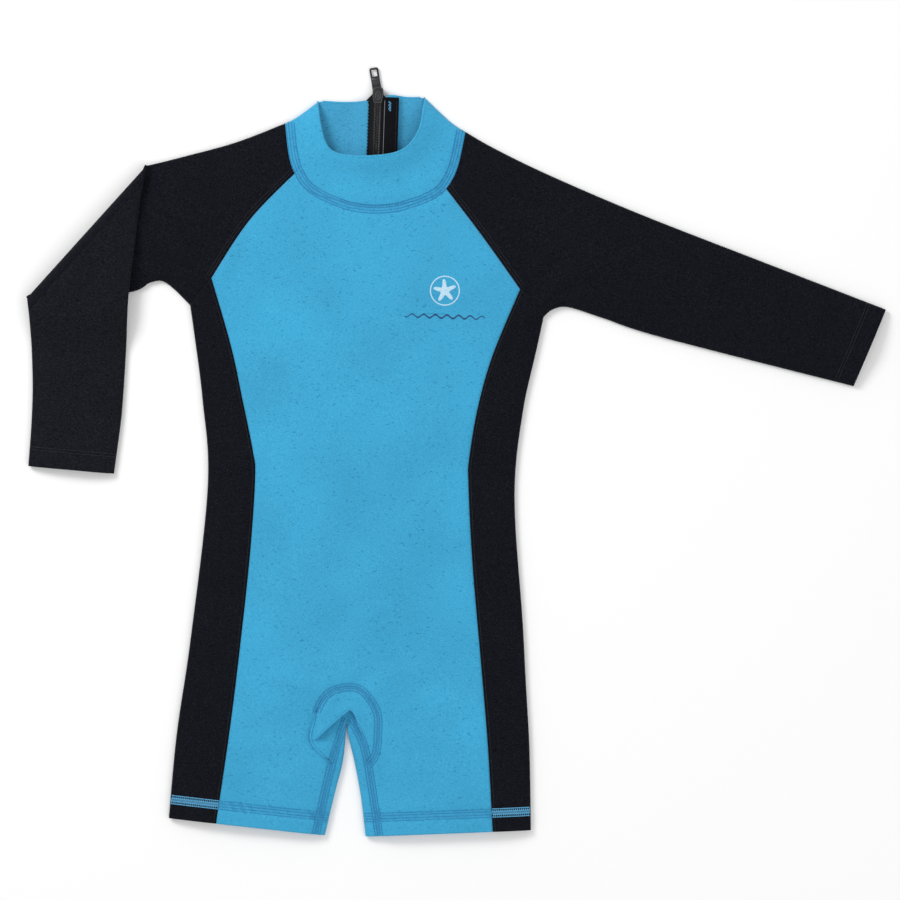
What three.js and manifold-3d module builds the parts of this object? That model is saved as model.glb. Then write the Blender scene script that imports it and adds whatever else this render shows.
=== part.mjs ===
// A small child's one-piece water suit: long raglan sleeves, short legs, stand-up collar and back zip.
// It lies flat on its back on the plane z = 0, collar towards +Y, wearer's left side towards +X.
// The right sleeve is folded over at a slanted crease, so its lower half lies on top and points down.
import * as THREE from "three";
import { mergeVertices } from "three/addons/utils/BufferGeometryUtils.js";
import Module from "manifold-3d";

const wasm = await Module();
wasm.setup();

// ---- Driving dimensions, in millimetres and degrees ----

// Fabric
const CLOTH = 1.5; // thickness of the body fabric
const LINING = 1.0; // thickness of the collar lining
const FOLD_CLEARANCE = 0.8; // the lining stays this much further in from the collar's folds
const LAID_HEIGHT = 10; // height of the flattened tube of fabric
const FOLD_RADIUS = 4.5; // rounding of a fold seen from its end
const GAP = 0.3; // clearance between neighbouring solids
const TOLERANCE = 0.004; // edges shorter than this are merged away

// Body, measured from its centre line X = 0; Y = 0 is the waist
const CHEST_HALF = 134;
const CHEST_Y = 114;
const ARMPIT_HALF = 137;
const ARMPIT_Y = 131;
const WAIST_HALF = 118.7;
const WAIST_Y = -8;
const HIP_SHARE = 0.42; // share of the flare from waist to hem that the hip has, half-way down
const HEM_HALF = 140.3;
const HEM_Y = -266.5; // hem at the side; it drops towards the inside leg
const HEM_DROP = 9.3;
const LEG_GAP = 29.5; // between the two inner hem corners
const CROTCH_X = -4.3;
const CROTCH_Y = -196;

// Neck and collar
const NECK_HALF = 68; // half the width between the two ends of the neck seam
const NECK_X = 1.8; // centre of the neck
const NECK_Y = 274; // height of the neck seam's ends
const NECK_TILT = 2; // the wearer's left end lies this much lower
const FRONT_NECK_DROP = 62; // depth of the front neck seam below its ends
const BACK_NECK_DROP = 26;
const COLLAR_HALF = 41.3; // half the width of the collar's top edge
const COLLAR_RISE = 20.5; // of the top edge over the neck seam's ends
const SCOOP_DEPTH = 42.5; // of the opening's front edge below the top edge

// Side panels: distance of their seams from the centre line
const PANEL_UNDERARM = 119.5;
const PANEL_UNDERARM_Y = 154;
const PANEL_WAIST = 82.6;
const PANEL_WAIST_Y = -12;
const PANEL_HEM = 106.5;
const PANEL_LEAN = 3.5; // the lower ends of both seams lie this much towards the wearer's left

// Sleeves
const SLEEVE_LENGTH = 353; // neck point to cuff, along the top edge
const CUFF_WIDTH = 64.5;
const LEFT_SLEEVE_DROP = 21; // angle of the top edge below the horizontal
const RIGHT_SLEEVE_DROP = 19;
const SLEEVE_SAG = 6; // the top edge hollows by this much
const CREASE_AT = 117.5; // from the neck point to the crease, along the top edge
const CREASE_LENGTH = 133;
const CREASE_ANGLE = 231.1; // direction of the crease, from the top edge to the lower edge
const FOREARM_BEND = 3.6; // the folded half swings this much further towards the body than a plain fold
const FOREARM_LEVEL = 3; // the folded half stays level to this far below the crease's foot
const FOREARM_DROOP = 40; // length in which the folded half comes down to the floor

// Gusset and inside-leg seams
const GUSSET_HALF = 25.5;
const GUSSET_X = -6.5;
const GUSSET_TOP_Y = -161.5;
const GUSSET_FOOT_Y = -220;
const INSEAM_TOP_Y = -182;
const INSEAM_INSET = { right: 7.2, left: 12.6 }; // from the inner edge of each leg

// Stitching, which lies flush in the groove that it pulls into the fabric
const THREAD = 0.4;
const NECK_STITCH = 6.6;
const HEM_STITCH = 7.2;
const HEM_DEPTH = 14.5;
const INSEAM_STITCH = 6;
const GUSSET_STITCH = 5;
const CUFF_STITCH = 5;
const CUFF_HEM = 14;
const TOP_STITCH = 2.4; // narrow twin-needle rows
const TOP_STITCH_INSET = 2.2; // from the seam to the row's near edge
const CENTRE_STITCH = 6;

// Back zip, on the line X = ZIP_X; heights are those of the tape's and chain's layers
const ZIP_X = 3;
const ZIP_OPENING = 290; // travel of the slider
const SLOT_HALF = 6.6; // half the gap between the two turned edges of the fabric
const TURNED_EDGE = 8; // width of fabric turned under along the slot
const TAPE_HALF = 13.5;
const TAPE = 0.6; // tape thickness
const TAPE_Z = 3.7; // underside of the tape
const COIL_RADIUS = 0.75;
const COIL_OFFSET = 1.35; // from the zip's line to a coil's axis
const COIL_CLEARANCE = 0.25; // between the coils and the slider's plates
const CHAIN_END = 9; // the coils run this far past the slider's mouth
const STOP_LENGTH = 2;
const FOOT_STOP_LENGTH = 3;
const TAPE_TAIL = 12; // tape below the foot of the slot
const TAPE_SLANT = 12; // drop of the tape's cut end from the coil to the outer edge
const ROUND_SIDES = 10; // faces round a coil or a bar
const GUARD_FROM = 5; // from the zip's line to the guard flap's free edge
const GUARD_TO = 16.4;
const GUARD_LENGTH = 49;
const GUARD = 0.8; // guard thickness
const GUARD_RISE = 5; // above the collar's right-hand end
const WINDOW_EDGE = { top: 6, foot: 4.6 }; // lining's free edge beside the zip, from the zip's line

// Slider and pull
const SLIDER_LENGTH = 13;
const SLIDER_NOSE_HALF = 4.25;
const SLIDER_MOUTH_HALF = 3.3;
const SLIDER_PLATE = 0.7;
const SLIDER_LIP = 0.8; // width of the lips that hold the tape
const POST_HALF = 0.3; // the post passes between the two coils
const POST_LENGTH = 5;
const POST_INSET = 0.5; // from the slider's nose
const BRIDGE_LENGTH = 6.8;
const BRIDGE_HALF = 0.7;
const BRIDGE_BAR = 0.8;
const BRIDGE_LEG = 1;
const BAR_RADIUS = 0.45; // cross-bar of the pull, which turns under the bridge
const PULL_LENGTH = 21.4;
const PULL_CHAMFER = 1;
const PULL_HALF = 3.25;
const PULL_THICKNESS = 1;
const PULL_LEAN = 8; // degrees that the pull lies to the wearer's right
const PULL_EYE = 4.2;
const PULL_EYE_HALF = 1.9;
const PULL_WINDOW = { half: 2.1, from: 14, to: 19.8 };

// ---- Small helpers ----

const FAR = 60; // reach of a cutting shape past the fabric
const HAIR = 0.05; // keeps a cut off the corners of what it cuts
const MIDDLE = LAID_HEIGHT / 2;
const RIGHT = -1;
const LEFT = 1;
const vec = (x, y) => new THREE.Vector2(x, y);
const mix = (a, b, share) => a + (b - a) * share;
const toRadians = THREE.MathUtils.degToRad;
const heading = (degrees) => vec(Math.cos(toRadians(degrees)), Math.sin(toRadians(degrees)));
const along = (start, direction, distance) => start.clone().addScaledVector(direction, distance);
const spline = (points, steps) => new THREE.SplineCurve(points).getPoints(steps);

// The points of a polyline moved sideways, to its left when the distance is positive.
function offset(points, distance) {
  return points.map((point, i) => {
    const before = points[Math.max(i - 1, 0)];
    const after = points[Math.min(i + 1, points.length - 1)];
    const back = point.clone().sub(before).normalize();
    const ahead = after.clone().sub(point).normalize();
    const run = back.clone().add(ahead).normalize();
    const reference = ahead.lengthSq() > 0 ? ahead : back;
    const stretch = 1 / Math.max(run.dot(reference), 0.4);
    return vec(point.x - run.y * distance * stretch, point.y + run.x * distance * stretch);
  });
}

// A closed outline that follows a polyline between two sideways distances.
const ribbon = (points, from, to) => [...offset(points, from), ...offset(points, to).reverse()];
const centred = (points, width) => ribbon(points, -width / 2, width / 2);

function toSolid(geometry) {
  const bare = geometry.clone();
  bare.deleteAttribute("normal");
  bare.deleteAttribute("uv");
  const merged = mergeVertices(bare, 1e-4);
  const vertProperties = merged.attributes.position.array;
  const triVerts = new Uint32Array(merged.index.array);
  return new wasm.Manifold(new wasm.Mesh({ numProp: 3, vertProperties, triVerts }));
}

function toGeometry(solid) {
  const mesh = solid.simplify(TOLERANCE).getMesh();
  const geometry = new THREE.BufferGeometry();
  geometry.setAttribute("position", new THREE.BufferAttribute(mesh.vertProperties, 3));
  geometry.setIndex(new THREE.BufferAttribute(mesh.triVerts, 1));
  geometry.computeVertexNormals();
  return geometry;
}

const joined = (solids) => solids.reduce((sum, solid) => sum.add(solid));

function prism(outline, low = -FAR, high = FAR) {
  const shape = new THREE.Shape(outline);
  const geometry = new THREE.ExtrudeGeometry(shape, { depth: high - low, bevelEnabled: false });
  geometry.translate(0, 0, low);
  return toSolid(geometry);
}

// A flat body with rounded folds all round, pulled in from its outline by an inset.
function slab(outline, inset, low, high) {
  const round = Math.min(FOLD_RADIUS, (high - low) / 2 - 0.4);
  const geometry = new THREE.ExtrudeGeometry(new THREE.Shape(outline), {
    depth: high - low - 2 * round,
    bevelThickness: round,
    bevelSize: round,
    bevelOffset: -inset - round,
    bevelSegments: 3,
  });
  geometry.translate(0, 0, low + round);
  return toSolid(geometry);
}

function box(x0, x1, y0, y1, z0, z1) {
  const geometry = new THREE.BoxGeometry(x1 - x0, y1 - y0, z1 - z0);
  geometry.translate((x0 + x1) / 2, (y0 + y1) / 2, (z0 + z1) / 2);
  return toSolid(geometry);
}

// ---- Lines of the garment, seen from the front ----

const neckPoint = (side) => vec(NECK_X + side * (NECK_HALF + 2.2), NECK_Y - (side * NECK_TILT) / 2 - 1);
const armpit = (side) => vec(side * ARMPIT_HALF, ARMPIT_Y);

// Side of the body from below the armpit to past the hem.
function sideEdge(side) {
  const knots = [
    vec(side * CHEST_HALF, CHEST_Y),
    vec(side * mix(WAIST_HALF, CHEST_HALF, 0.42), mix(WAIST_Y, CHEST_Y, 0.55)),
    vec(side * WAIST_HALF, WAIST_Y),
    vec(side * mix(WAIST_HALF, HEM_HALF, HIP_SHARE), mix(WAIST_Y, HEM_Y, 0.45)),
    vec(side * mix(WAIST_HALF, HEM_HALF, 0.82), mix(WAIST_Y, HEM_Y, 0.75)),
    vec(side * HEM_HALF, HEM_Y),
  ];
  return [...spline(knots, 12), vec(side * (HEM_HALF + 2), HEM_Y - FAR / 2)];
}

const innerHem = (side) => vec(CROTCH_X + (side * LEG_GAP) / 2, HEM_Y - HEM_DROP);

// Inner edge of a leg from the crotch to past the hem.
function innerLeg(side) {
  const hem = innerHem(side);
  const knots = [
    vec(CROTCH_X, CROTCH_Y),
    vec(mix(CROTCH_X, hem.x, 0.24), mix(CROTCH_Y, hem.y, 0.24)),
    vec(mix(CROTCH_X, hem.x, 0.6), mix(CROTCH_Y, hem.y, 0.62)),
    hem,
  ];
  return [...spline(knots, 6), vec(hem.x + side * 1.5, hem.y - FAR / 2)];
}

// Hem line from past the side of the leg to past its inner edge.
function hemLine(side) {
  const outer = vec(side * HEM_HALF, HEM_Y);
  const inner = innerHem(side);
  const run = inner.clone().sub(outer).normalize();
  return [along(outer, run, -FAR / 2), along(inner, run, LEG_GAP / 2 - 1.5)];
}

// Left sleeve, lying straight: top edge, cuff and lower edge.
const leftRun = heading(-LEFT_SLEEVE_DROP);
const leftAcross = heading(-LEFT_SLEEVE_DROP - 90);
const leftCuffTop = along(neckPoint(LEFT), leftRun, SLEEVE_LENGTH);
const leftCuffFoot = along(leftCuffTop, leftAcross, CUFF_WIDTH);

function leftSleeveEdge() {
  const top = neckPoint(LEFT);
  const armhole = armpit(LEFT);
  const lower = spline(
    [
      armhole,
      vec(armhole.x + 7, armhole.y + 6),
      vec(armhole.x + 19, armhole.y + 8),
      vec(armhole.x + 46, armhole.y + 0.5),
      vec(mix(armhole.x, leftCuffFoot.x, 0.38), mix(armhole.y, leftCuffFoot.y, 0.28)),
      leftCuffFoot,
    ],
    14,
  );
  const knots = [leftCuffTop];
  for (const [share, sag] of [[0.72, 0.5], [0.42, 1], [0.2, 0.92], [0.07, 0.5]])
    knots.push(along(along(top, leftRun, SLEEVE_LENGTH * share), leftAcross, SLEEVE_SAG * sag));
  knots.push(top);
  const pastCuff = [leftCuffFoot, leftCuffTop].map((corner) => along(corner, leftRun, FAR / 2));
  return [...lower, ...pastCuff, ...spline(knots, 10)];
}

// Right sleeve: its crease, and the folded half below it.
const rightRun = heading(180 + RIGHT_SLEEVE_DROP);
const creaseRun = heading(CREASE_ANGLE);
const creaseTop = along(neckPoint(RIGHT), rightRun, CREASE_AT);
const creaseFoot = along(creaseTop, creaseRun, CREASE_LENGTH);
const foldedAngle = 2 * CREASE_ANGLE - 180 - RIGHT_SLEEVE_DROP + FOREARM_BEND;
const foldedRun = heading(foldedAngle);
const foldedAcross = heading(foldedAngle - 90);
const foldedCuffTop = along(creaseTop, foldedRun, SLEEVE_LENGTH - CREASE_AT + 2);
const foldedCuffFoot = along(foldedCuffTop, foldedAcross, CUFF_WIDTH);

function rightUpperEdge() {
  const top = neckPoint(RIGHT);
  const armhole = armpit(RIGHT);
  const upper = spline(
    [
      top,
      along(along(top, rightRun, CREASE_AT * 0.33), heading(-90), SLEEVE_SAG * 0.5),
      along(along(top, rightRun, CREASE_AT * 0.66), heading(-90), SLEEVE_SAG * 0.3),
      creaseTop,
    ],
    5,
  );
  const lower = spline(
    [
      creaseFoot,
      vec(mix(creaseFoot.x, armhole.x, 0.6), mix(creaseFoot.y, ARMPIT_Y + 13, 0.55)),
      vec(armhole.x - 31, armhole.y + 16.5),
      vec(armhole.x - 19, armhole.y + 16.5),
      armhole,
    ],
    12,
  );
  const pastCrease = [creaseTop, creaseFoot].map((corner) => along(corner, rightRun, FAR / 2));
  return [...upper, ...pastCrease, ...lower];
}

// Collar: its sides run up from the neck points to the ends of the top edge.
const collarTop = (side) => vec(NECK_X - 3.7 + side * COLLAR_HALF, NECK_Y + COLLAR_RISE + side * 2.9);

function collarEdge(side) {
  const foot = neckPoint(side);
  const top = collarTop(side);
  const knots = [foot, vec(mix(foot.x, top.x, 0.38), mix(foot.y, top.y, 0.3)), top];
  return [...spline(knots, 4), vec(top.x - side * 5, top.y + FAR / 3)];
}

// The whole outline, past every opening's edge, from the wearer's right collar round by the hems.
const outline = [
  ...collarEdge(RIGHT).reverse(),
  ...rightUpperEdge().slice(1),
  ...sideEdge(RIGHT),
  ...innerLeg(RIGHT).reverse(),
  ...innerLeg(LEFT).slice(1),
  ...sideEdge(LEFT).reverse(),
  ...leftSleeveEdge(),
  ...collarEdge(LEFT).slice(1),
];

// Neck seam from past the wearer's right shoulder to past the left one.
function neckSeam(drop, squareness) {
  const level = (share) => NECK_Y - share * NECK_TILT * 0.5;
  const at = (share, depth) => vec(NECK_X + share * (NECK_HALF - 1), level(share) - drop * depth);
  const deep = 1 - squareness;
  const right = [at(-1, 0), at(-0.9, deep), at(-0.64, 0.86)];
  const left = [at(0.64, 0.84), at(0.89, deep), at(1, 0)];
  return [at(-1.06, -0.3), ...spline([...right, at(0, 1), ...left], 16), at(1.06, -0.3)];
}
const frontNeck = neckSeam(FRONT_NECK_DROP, 0.45);
const backNeck = neckSeam(BACK_NECK_DROP, 0.4);

const underarm = (side) => vec(side * PANEL_UNDERARM - 1.5, PANEL_UNDERARM_Y - side * 2.5);

// Raglan seam from inside the collar to the underarm corner, then out through the armpit.
function raglanSeam(side, start, bulge) {
  const corner = underarm(side);
  const middle = vec(mix(start.x, corner.x, 0.5) + side * bulge, mix(start.y, corner.y, 0.5) + bulge * 0.6);
  return spline([start, middle, corner], 8);
}
const throughArmpit = (side) => armpit(side).sub(underarm(side)).normalize();
const underarmSeam = (side) => [underarm(side), along(armpit(side), throughArmpit(side), 18)];
const frontRaglan = {
  [RIGHT]: raglanSeam(RIGHT, vec(NECK_X - 56.5, NECK_Y - 34), 4.5),
  [LEFT]: raglanSeam(LEFT, vec(NECK_X + 51, NECK_Y - 40), 0.8),
};
const backRaglan = {
  [RIGHT]: raglanSeam(RIGHT, vec(NECK_X - 48, NECK_Y - 12), 4),
  [LEFT]: raglanSeam(LEFT, vec(NECK_X + 46, NECK_Y - 14), 3),
};

// Side-panel seam from the underarm corner to past the hem, the same on front and back.
function panelSeam(side) {
  const lean = (y) => PANEL_LEAN * Math.min(1, (PANEL_WAIST_Y - y) / (PANEL_WAIST_Y - HEM_Y));
  const at = (half, y) => vec(side * half + Math.max(0, lean(y)), y);
  const knots = [
    underarm(side),
    at(mix(PANEL_WAIST, PANEL_UNDERARM, 0.66), mix(PANEL_WAIST_Y, PANEL_UNDERARM_Y, 0.77)),
    at(mix(PANEL_WAIST, PANEL_UNDERARM, 0.16), mix(PANEL_WAIST_Y, PANEL_UNDERARM_Y, 0.32)),
    at(PANEL_WAIST, PANEL_WAIST_Y),
    at(mix(PANEL_WAIST, PANEL_HEM, 0.4), mix(PANEL_WAIST_Y, HEM_Y, 0.5)),
    at(PANEL_HEM, HEM_Y),
  ];
  return [...spline(knots, 16), at(PANEL_HEM + 1, HEM_Y - FAR / 2)];
}

// Inside-leg seam, a little to the front of the leg's inner edge, from above the crotch to past the hem.
function inseam(side) {
  const inset = side === RIGHT ? INSEAM_INSET.right : INSEAM_INSET.left;
  const edge = innerLeg(side);
  const foot = edge[edge.length - 1];
  const hem = innerHem(side);
  const knots = [
    vec(CROTCH_X, INSEAM_TOP_Y),
    vec(CROTCH_X + side * inset, mix(CROTCH_Y, hem.y, 0.1)),
    vec(mix(CROTCH_X, hem.x, 0.45) + side * inset, mix(CROTCH_Y, hem.y, 0.45)),
    vec(hem.x + side * inset, hem.y),
  ];
  return [...spline(knots, 8), vec(foot.x + side * inset, foot.y)];
}

// The point of a polyline that runs downwards at a height.
function pointAt(points, y) {
  const i = points.findIndex((point) => point.y < y);
  return points[i - 1].clone().lerp(points[i], (points[i - 1].y - y) / (points[i - 1].y - points[i].y));
}

// Arch of the gusset, from the right inseam over the top to the left one.
function gussetArch() {
  const at = (share, y) => vec(GUSSET_X + share * GUSSET_HALF, y);
  return spline(
    [
      pointAt(inseam(RIGHT), GUSSET_FOOT_Y),
      at(-1, mix(GUSSET_FOOT_Y, GUSSET_TOP_Y, 0.25)),
      at(-0.8, mix(GUSSET_FOOT_Y, GUSSET_TOP_Y, 0.78)),
      at(0, GUSSET_TOP_Y),
      at(0.8, mix(GUSSET_FOOT_Y, GUSSET_TOP_Y, 0.78)),
      at(1, mix(GUSSET_FOOT_Y, GUSSET_TOP_Y, 0.25)),
      pointAt(inseam(LEFT), GUSSET_FOOT_Y),
    ],
    14,
  );
}

// Centre-back seam, from the foot of the zip to between the legs.
const zipTopY = collarTop(LEFT).y - 5.6; // the slider's mouth rests at the collar's edge
const hingeY = zipTopY + SLIDER_LENGTH / 2;
const slotFootY = hingeY - ZIP_OPENING - PULL_LENGTH - 1.5;
const centreBack = [
  vec(ZIP_X, slotFootY + 4),
  vec(CROTCH_X, CROTCH_Y + 14),
  vec(CROTCH_X, HEM_Y - FAR),
];

// ---- Regions of the pattern pieces; each reaches well past the fabric's edge ----

const corner = {
  [RIGHT]: { up: vec(-4 * FAR, 6 * FAR), out: vec(-6 * FAR, ARMPIT_Y), low: vec(-4 * FAR, HEM_Y - FAR) },
  [LEFT]: { up: vec(8 * FAR, 6 * FAR), out: vec(8 * FAR, -FAR), low: vec(4 * FAR, HEM_Y - FAR) },
};

const sideRegion = (side) => [
  ...panelSeam(side),
  vec(side * 4 * FAR, HEM_Y - FAR / 2),
  vec(side * 4 * FAR, ARMPIT_Y - FAR / 2),
  ...underarmSeam(side).slice(1),
];

function sleeveRegion(side, raglan) {
  const armhole = underarmSeam(side)[1];
  return [
    vec(raglan[0].x, NECK_Y + FAR),
    ...raglan,
    armhole,
    vec(armhole.x, -FAR),
    corner[side].out,
    corner[side].up,
  ];
}

const collarRegion = (neck) => [
  ...neck,
  vec(NECK_X + 2 * FAR, NECK_Y + 2 * FAR),
  vec(NECK_X - 2 * FAR, NECK_Y + 2 * FAR),
];

function bodyRegion(raglan) {
  return [
    vec(raglan[RIGHT][0].x, NECK_Y + FAR),
    vec(raglan[LEFT][0].x, NECK_Y + FAR),
    ...raglan[LEFT],
    ...panelSeam(LEFT).slice(1),
    ...panelSeam(RIGHT).slice(1).reverse(),
    ...[...raglan[RIGHT]].reverse(),
  ];
}

const gussetRegion = () => {
  const arch = gussetArch();
  const right = inseam(RIGHT).filter((point) => point.y > arch[0].y);
  const left = inseam(LEFT).filter((point) => point.y > arch[arch.length - 1].y);
  return [...arch, ...left.reverse(), ...right.slice(1)];
};

// Front strips inside the inseams: the back panels wrap round the legs to there.
const innerStrip = (side) => [...inseam(side), vec(CROTCH_X, HEM_Y - FAR)];

// What is left of the sheet below the collar's edge, above the hems and inside the cuffs.
const scoop = () => {
  const right = collarTop(RIGHT);
  const left = collarTop(LEFT);
  const at = ([share, depth]) => right.clone().lerp(left, share).sub(vec(0, SCOOP_DEPTH * depth));
  const knots = [[0, 0], [0.05, 0.36], [0.25, 0.88], [0.52, 1], [0.78, 0.86], [0.96, 0.4], [1, 0]];
  return [...spline(knots.map(at), 14), vec(left.x, left.y + FAR), vec(right.x, right.y + FAR)];
};
const aboveCollar = [
  along(collarTop(RIGHT), vec(-1, -0.07), FAR / 2),
  along(collarTop(LEFT), vec(1, 0.07), FAR / 2),
  vec(2 * FAR, NECK_Y + 2 * FAR),
  vec(-2 * FAR, NECK_Y + 2 * FAR),
];
const belowHem = (side) => {
  const line = offset(hemLine(side), -side * HAIR);
  return [...line, vec(line[1].x, HEM_Y - 2 * FAR), vec(line[0].x, HEM_Y - 2 * FAR)];
};
const pastLine = (start, end, away) => [
  along(start, start.clone().sub(end).normalize(), FAR),
  along(end, end.clone().sub(start).normalize(), FAR),
  along(along(end, end.clone().sub(start).normalize(), FAR), away, 2 * FAR),
  along(along(start, start.clone().sub(end).normalize(), FAR), away, 2 * FAR),
];

// ---- Fabric: one closed skin, grooved for the stitching and cut along the seams ----

const LAP = 0.01; // front and back shapes share this much at the middle, so that their union has no crack
const front = (points, split = MIDDLE) => prism(points, split - LAP, FAR);
const back = (points, split = MIDDLE) => prism(points, -FAR, split + LAP);
const outside = slab(outline, 0, 0, LAID_HEIGHT);
const inside = slab(outline, CLOTH, CLOTH, LAID_HEIGHT - CLOTH);
const openings = joined([
  front(scoop()),
  back(aboveCollar),
  prism(belowHem(RIGHT)),
  prism(belowHem(LEFT)),
  prism(pastLine(along(leftCuffTop, leftRun, -HAIR), along(leftCuffFoot, leftRun, -HAIR), leftRun)),
  prism(pastLine(along(creaseTop, rightRun, -GAP), along(creaseFoot, rightRun, -GAP), rightRun)),
]);

const slotTop = collarTop(LEFT).y + FAR / 3;
const zipSlot = box(ZIP_X - SLOT_HALF, ZIP_X + SLOT_HALF, slotFootY, slotTop, -FAR, MIDDLE);
const turnedTop = TAPE_Z - GAP;
const turnedEdges = [RIGHT, LEFT].map((side) => {
  const edges = [ZIP_X + side, ZIP_X + side * (SLOT_HALF + TURNED_EDGE)].sort((a, b) => a - b);
  return box(edges[0], edges[1], slotFootY + 1, collarTop(RIGHT).y - 1, CLOTH / 2, turnedTop);
});

// Where the stitching runs: the region of each row, as wide as asked, on the front, the back or both.
const hemRow = (side) => offset(hemLine(side), -side * HEM_DEPTH);
const cuffRow = (top, foot, run) => [along(top, run, -CUFF_HEM), along(foot, run, -CUFF_HEM)];
const longer = (line) => [
  along(line[0], line[0].clone().sub(line[1]).normalize(), FAR / 4),
  along(line[1], line[1].clone().sub(line[0]).normalize(), FAR / 4),
];
// The raglan seam and the seam through the armpit run past each other by a millimetre where they meet.
function raglanRow(raglan, side) {
  const [before, last] = raglan[side].slice(-2);
  return [...raglan[side], along(last, last.clone().sub(before).normalize(), 1)];
}
const armpitRow = (side) => [along(underarm(side), throughArmpit(side), -1), underarmSeam(side)[1]];
const outward = (side, extra) =>
  [TOP_STITCH_INSET - extra, TOP_STITCH_INSET + TOP_STITCH + extra].map((distance) => side * distance);

const rows = {
  neck_stitching: (extra) =>
    front(centred(frontNeck, NECK_STITCH + 2 * extra))
      .add(back(centred(backNeck, NECK_STITCH + 2 * extra)))
      .subtract(box(ZIP_X - SLOT_HALF - 6 + extra, ZIP_X + SLOT_HALF + 6 - extra, 0, slotTop, -FAR, MIDDLE)),
  gusset_stitching: (extra) => front(centred(gussetArch(), GUSSET_STITCH + 2 * extra)),
  inseam_stitching_right: (extra) => front(centred(inseam(RIGHT), INSEAM_STITCH + 2 * extra)),
  inseam_stitching_left: (extra) => front(centred(inseam(LEFT), INSEAM_STITCH + 2 * extra)),
  hem_stitching_right: (extra) => prism(centred(hemRow(RIGHT), HEM_STITCH + 2 * extra)),
  hem_stitching_left: (extra) => prism(centred(hemRow(LEFT), HEM_STITCH + 2 * extra)),
  cuff_stitching_left: (extra) =>
    prism(centred(longer(cuffRow(leftCuffTop, leftCuffFoot, leftRun)), CUFF_STITCH + 2 * extra)),
  raglan_stitching_right: (extra) => raglanRows(RIGHT, ...outward(RIGHT, extra)),
  raglan_stitching_left: (extra) => raglanRows(LEFT, ...outward(LEFT, extra)),
  zip_stitching_right: (extra) => zipRow(RIGHT, extra),
  zip_stitching_left: (extra) => zipRow(LEFT, extra),
  centre_back_stitching: (extra) => back(centred(centreBack.slice(0, 2), CENTRE_STITCH + 2 * extra)),
};

function raglanRows(side, from, to) {
  return joined([
    front(ribbon(raglanRow(frontRaglan, side), from, to)),
    back(ribbon(raglanRow(backRaglan, side), from, to)),
    prism(ribbon(armpitRow(side), from, to)),
  ]);
}

function zipRow(side, extra) {
  const near = SLOT_HALF + TOP_STITCH_INSET - extra;
  const edges = [ZIP_X + side * near, ZIP_X + side * (near + TOP_STITCH + 2 * extra)].sort((a, b) => a - b);
  return box(edges[0], edges[1], slotFootY - extra, collarTop(RIGHT).y - 4 + extra, -FAR, MIDDLE);
}

const threadSkin = outside.subtract(slab(outline, THREAD, THREAD, LAID_HEIGHT - THREAD)).subtract(openings);
const grooveDepth = THREAD + GAP;
const underGrooves = slab(outline, grooveDepth, grooveDepth, LAID_HEIGHT - grooveDepth);
const names = Object.keys(rows);
const grooveRegion = joined(names.map((name) => rows[name](GAP)));
const pastCorner = (side) => along(underarm(side), vec(-side, -2).normalize(), HAIR);
const seams = joined([
  front(centred(frontNeck, GAP)),
  back(centred(backNeck, GAP)),
  ...[RIGHT, LEFT].flatMap((side) => [
    raglanRows(side, -GAP / 2, GAP / 2),
    prism(centred([pastCorner(side), ...panelSeam(side).slice(1)], GAP)),
    front(centred(inseam(side), GAP)),
  ]),
  front(centred(gussetArch(), GAP)),
  prism(centred(centreBack, GAP), -FAR, MIDDLE),
  front(centred([vec(CROTCH_X, INSEAM_TOP_Y + 1), vec(CROTCH_X, HEM_Y - FAR)], GAP)),
]);
const fabric = joined([outside.subtract(inside), ...turnedEdges])
  .subtract(openings)
  .subtract(zipSlot)
  .subtract(grooveRegion.subtract(underGrooves))
  .subtract(seams);

// ---- The assembly ----

const suit = new THREE.Group();
const paint = {
  blue: { color: 0x45a8d6, roughness: 0.85, metalness: 0 },
  black: { color: 0x17191f, roughness: 0.85, metalness: 0 },
  blueThread: { color: 0x2f87bd, roughness: 0.7, metalness: 0 },
  skyThread: { color: 0x5fb2dc, roughness: 0.7, metalness: 0 },
  blackThread: { color: 0x0f1014, roughness: 0.7, metalness: 0 },
  zip: { color: 0x101013, roughness: 0.6, metalness: 0 },
  metal: { color: 0x2b2b2e, roughness: 0.4, metalness: 0.8 },
};

function piece(name, solid, look) {
  const mesh = new THREE.Mesh(toGeometry(solid), new THREE.MeshStandardMaterial(paint[look]));
  mesh.name = name;
  suit.add(mesh);
}

// Pattern pieces
const strips = joined([front(innerStrip(RIGHT)), front(innerStrip(LEFT))]);
const gusset = front(gussetRegion());
const sideOf = (side) => [vec(side * 6 * FAR, HEM_Y - FAR), vec(side * 6 * FAR, 6 * FAR)];
const halfPlane = (side) => prism([vec(ZIP_X, 6 * FAR), ...centreBack, ...sideOf(side)]);
const collarShape = front(collarRegion(frontNeck)).add(back(collarRegion(backNeck)));
const frontBody = front(bodyRegion(frontRaglan)).subtract(strips).subtract(gusset);
const backBody = back(bodyRegion(backRaglan)).add(strips.subtract(gusset));
const bodyFabric = fabric.subtract(collarShape);

piece("front_panel", bodyFabric.intersect(frontBody), "blue");
piece("back_panel_right", bodyFabric.intersect(backBody).intersect(halfPlane(RIGHT)), "blue");
piece("back_panel_left", bodyFabric.intersect(backBody).intersect(halfPlane(LEFT)), "blue");
piece("crotch_gusset", fabric.intersect(gusset), "blue");
piece("side_panel_right", fabric.intersect(prism(sideRegion(RIGHT))), "black");
piece("side_panel_left", fabric.intersect(prism(sideRegion(LEFT))), "black");

function sleeve(side) {
  const region = front(sleeveRegion(side, frontRaglan[side]));
  return bodyFabric.intersect(region.add(back(sleeveRegion(side, backRaglan[side]))));
}
piece("left_sleeve", sleeve(LEFT), "black");
piece("right_sleeve_upper", sleeve(RIGHT), "black");
piece("collar", fabric.intersect(collarShape), "blue");

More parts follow.
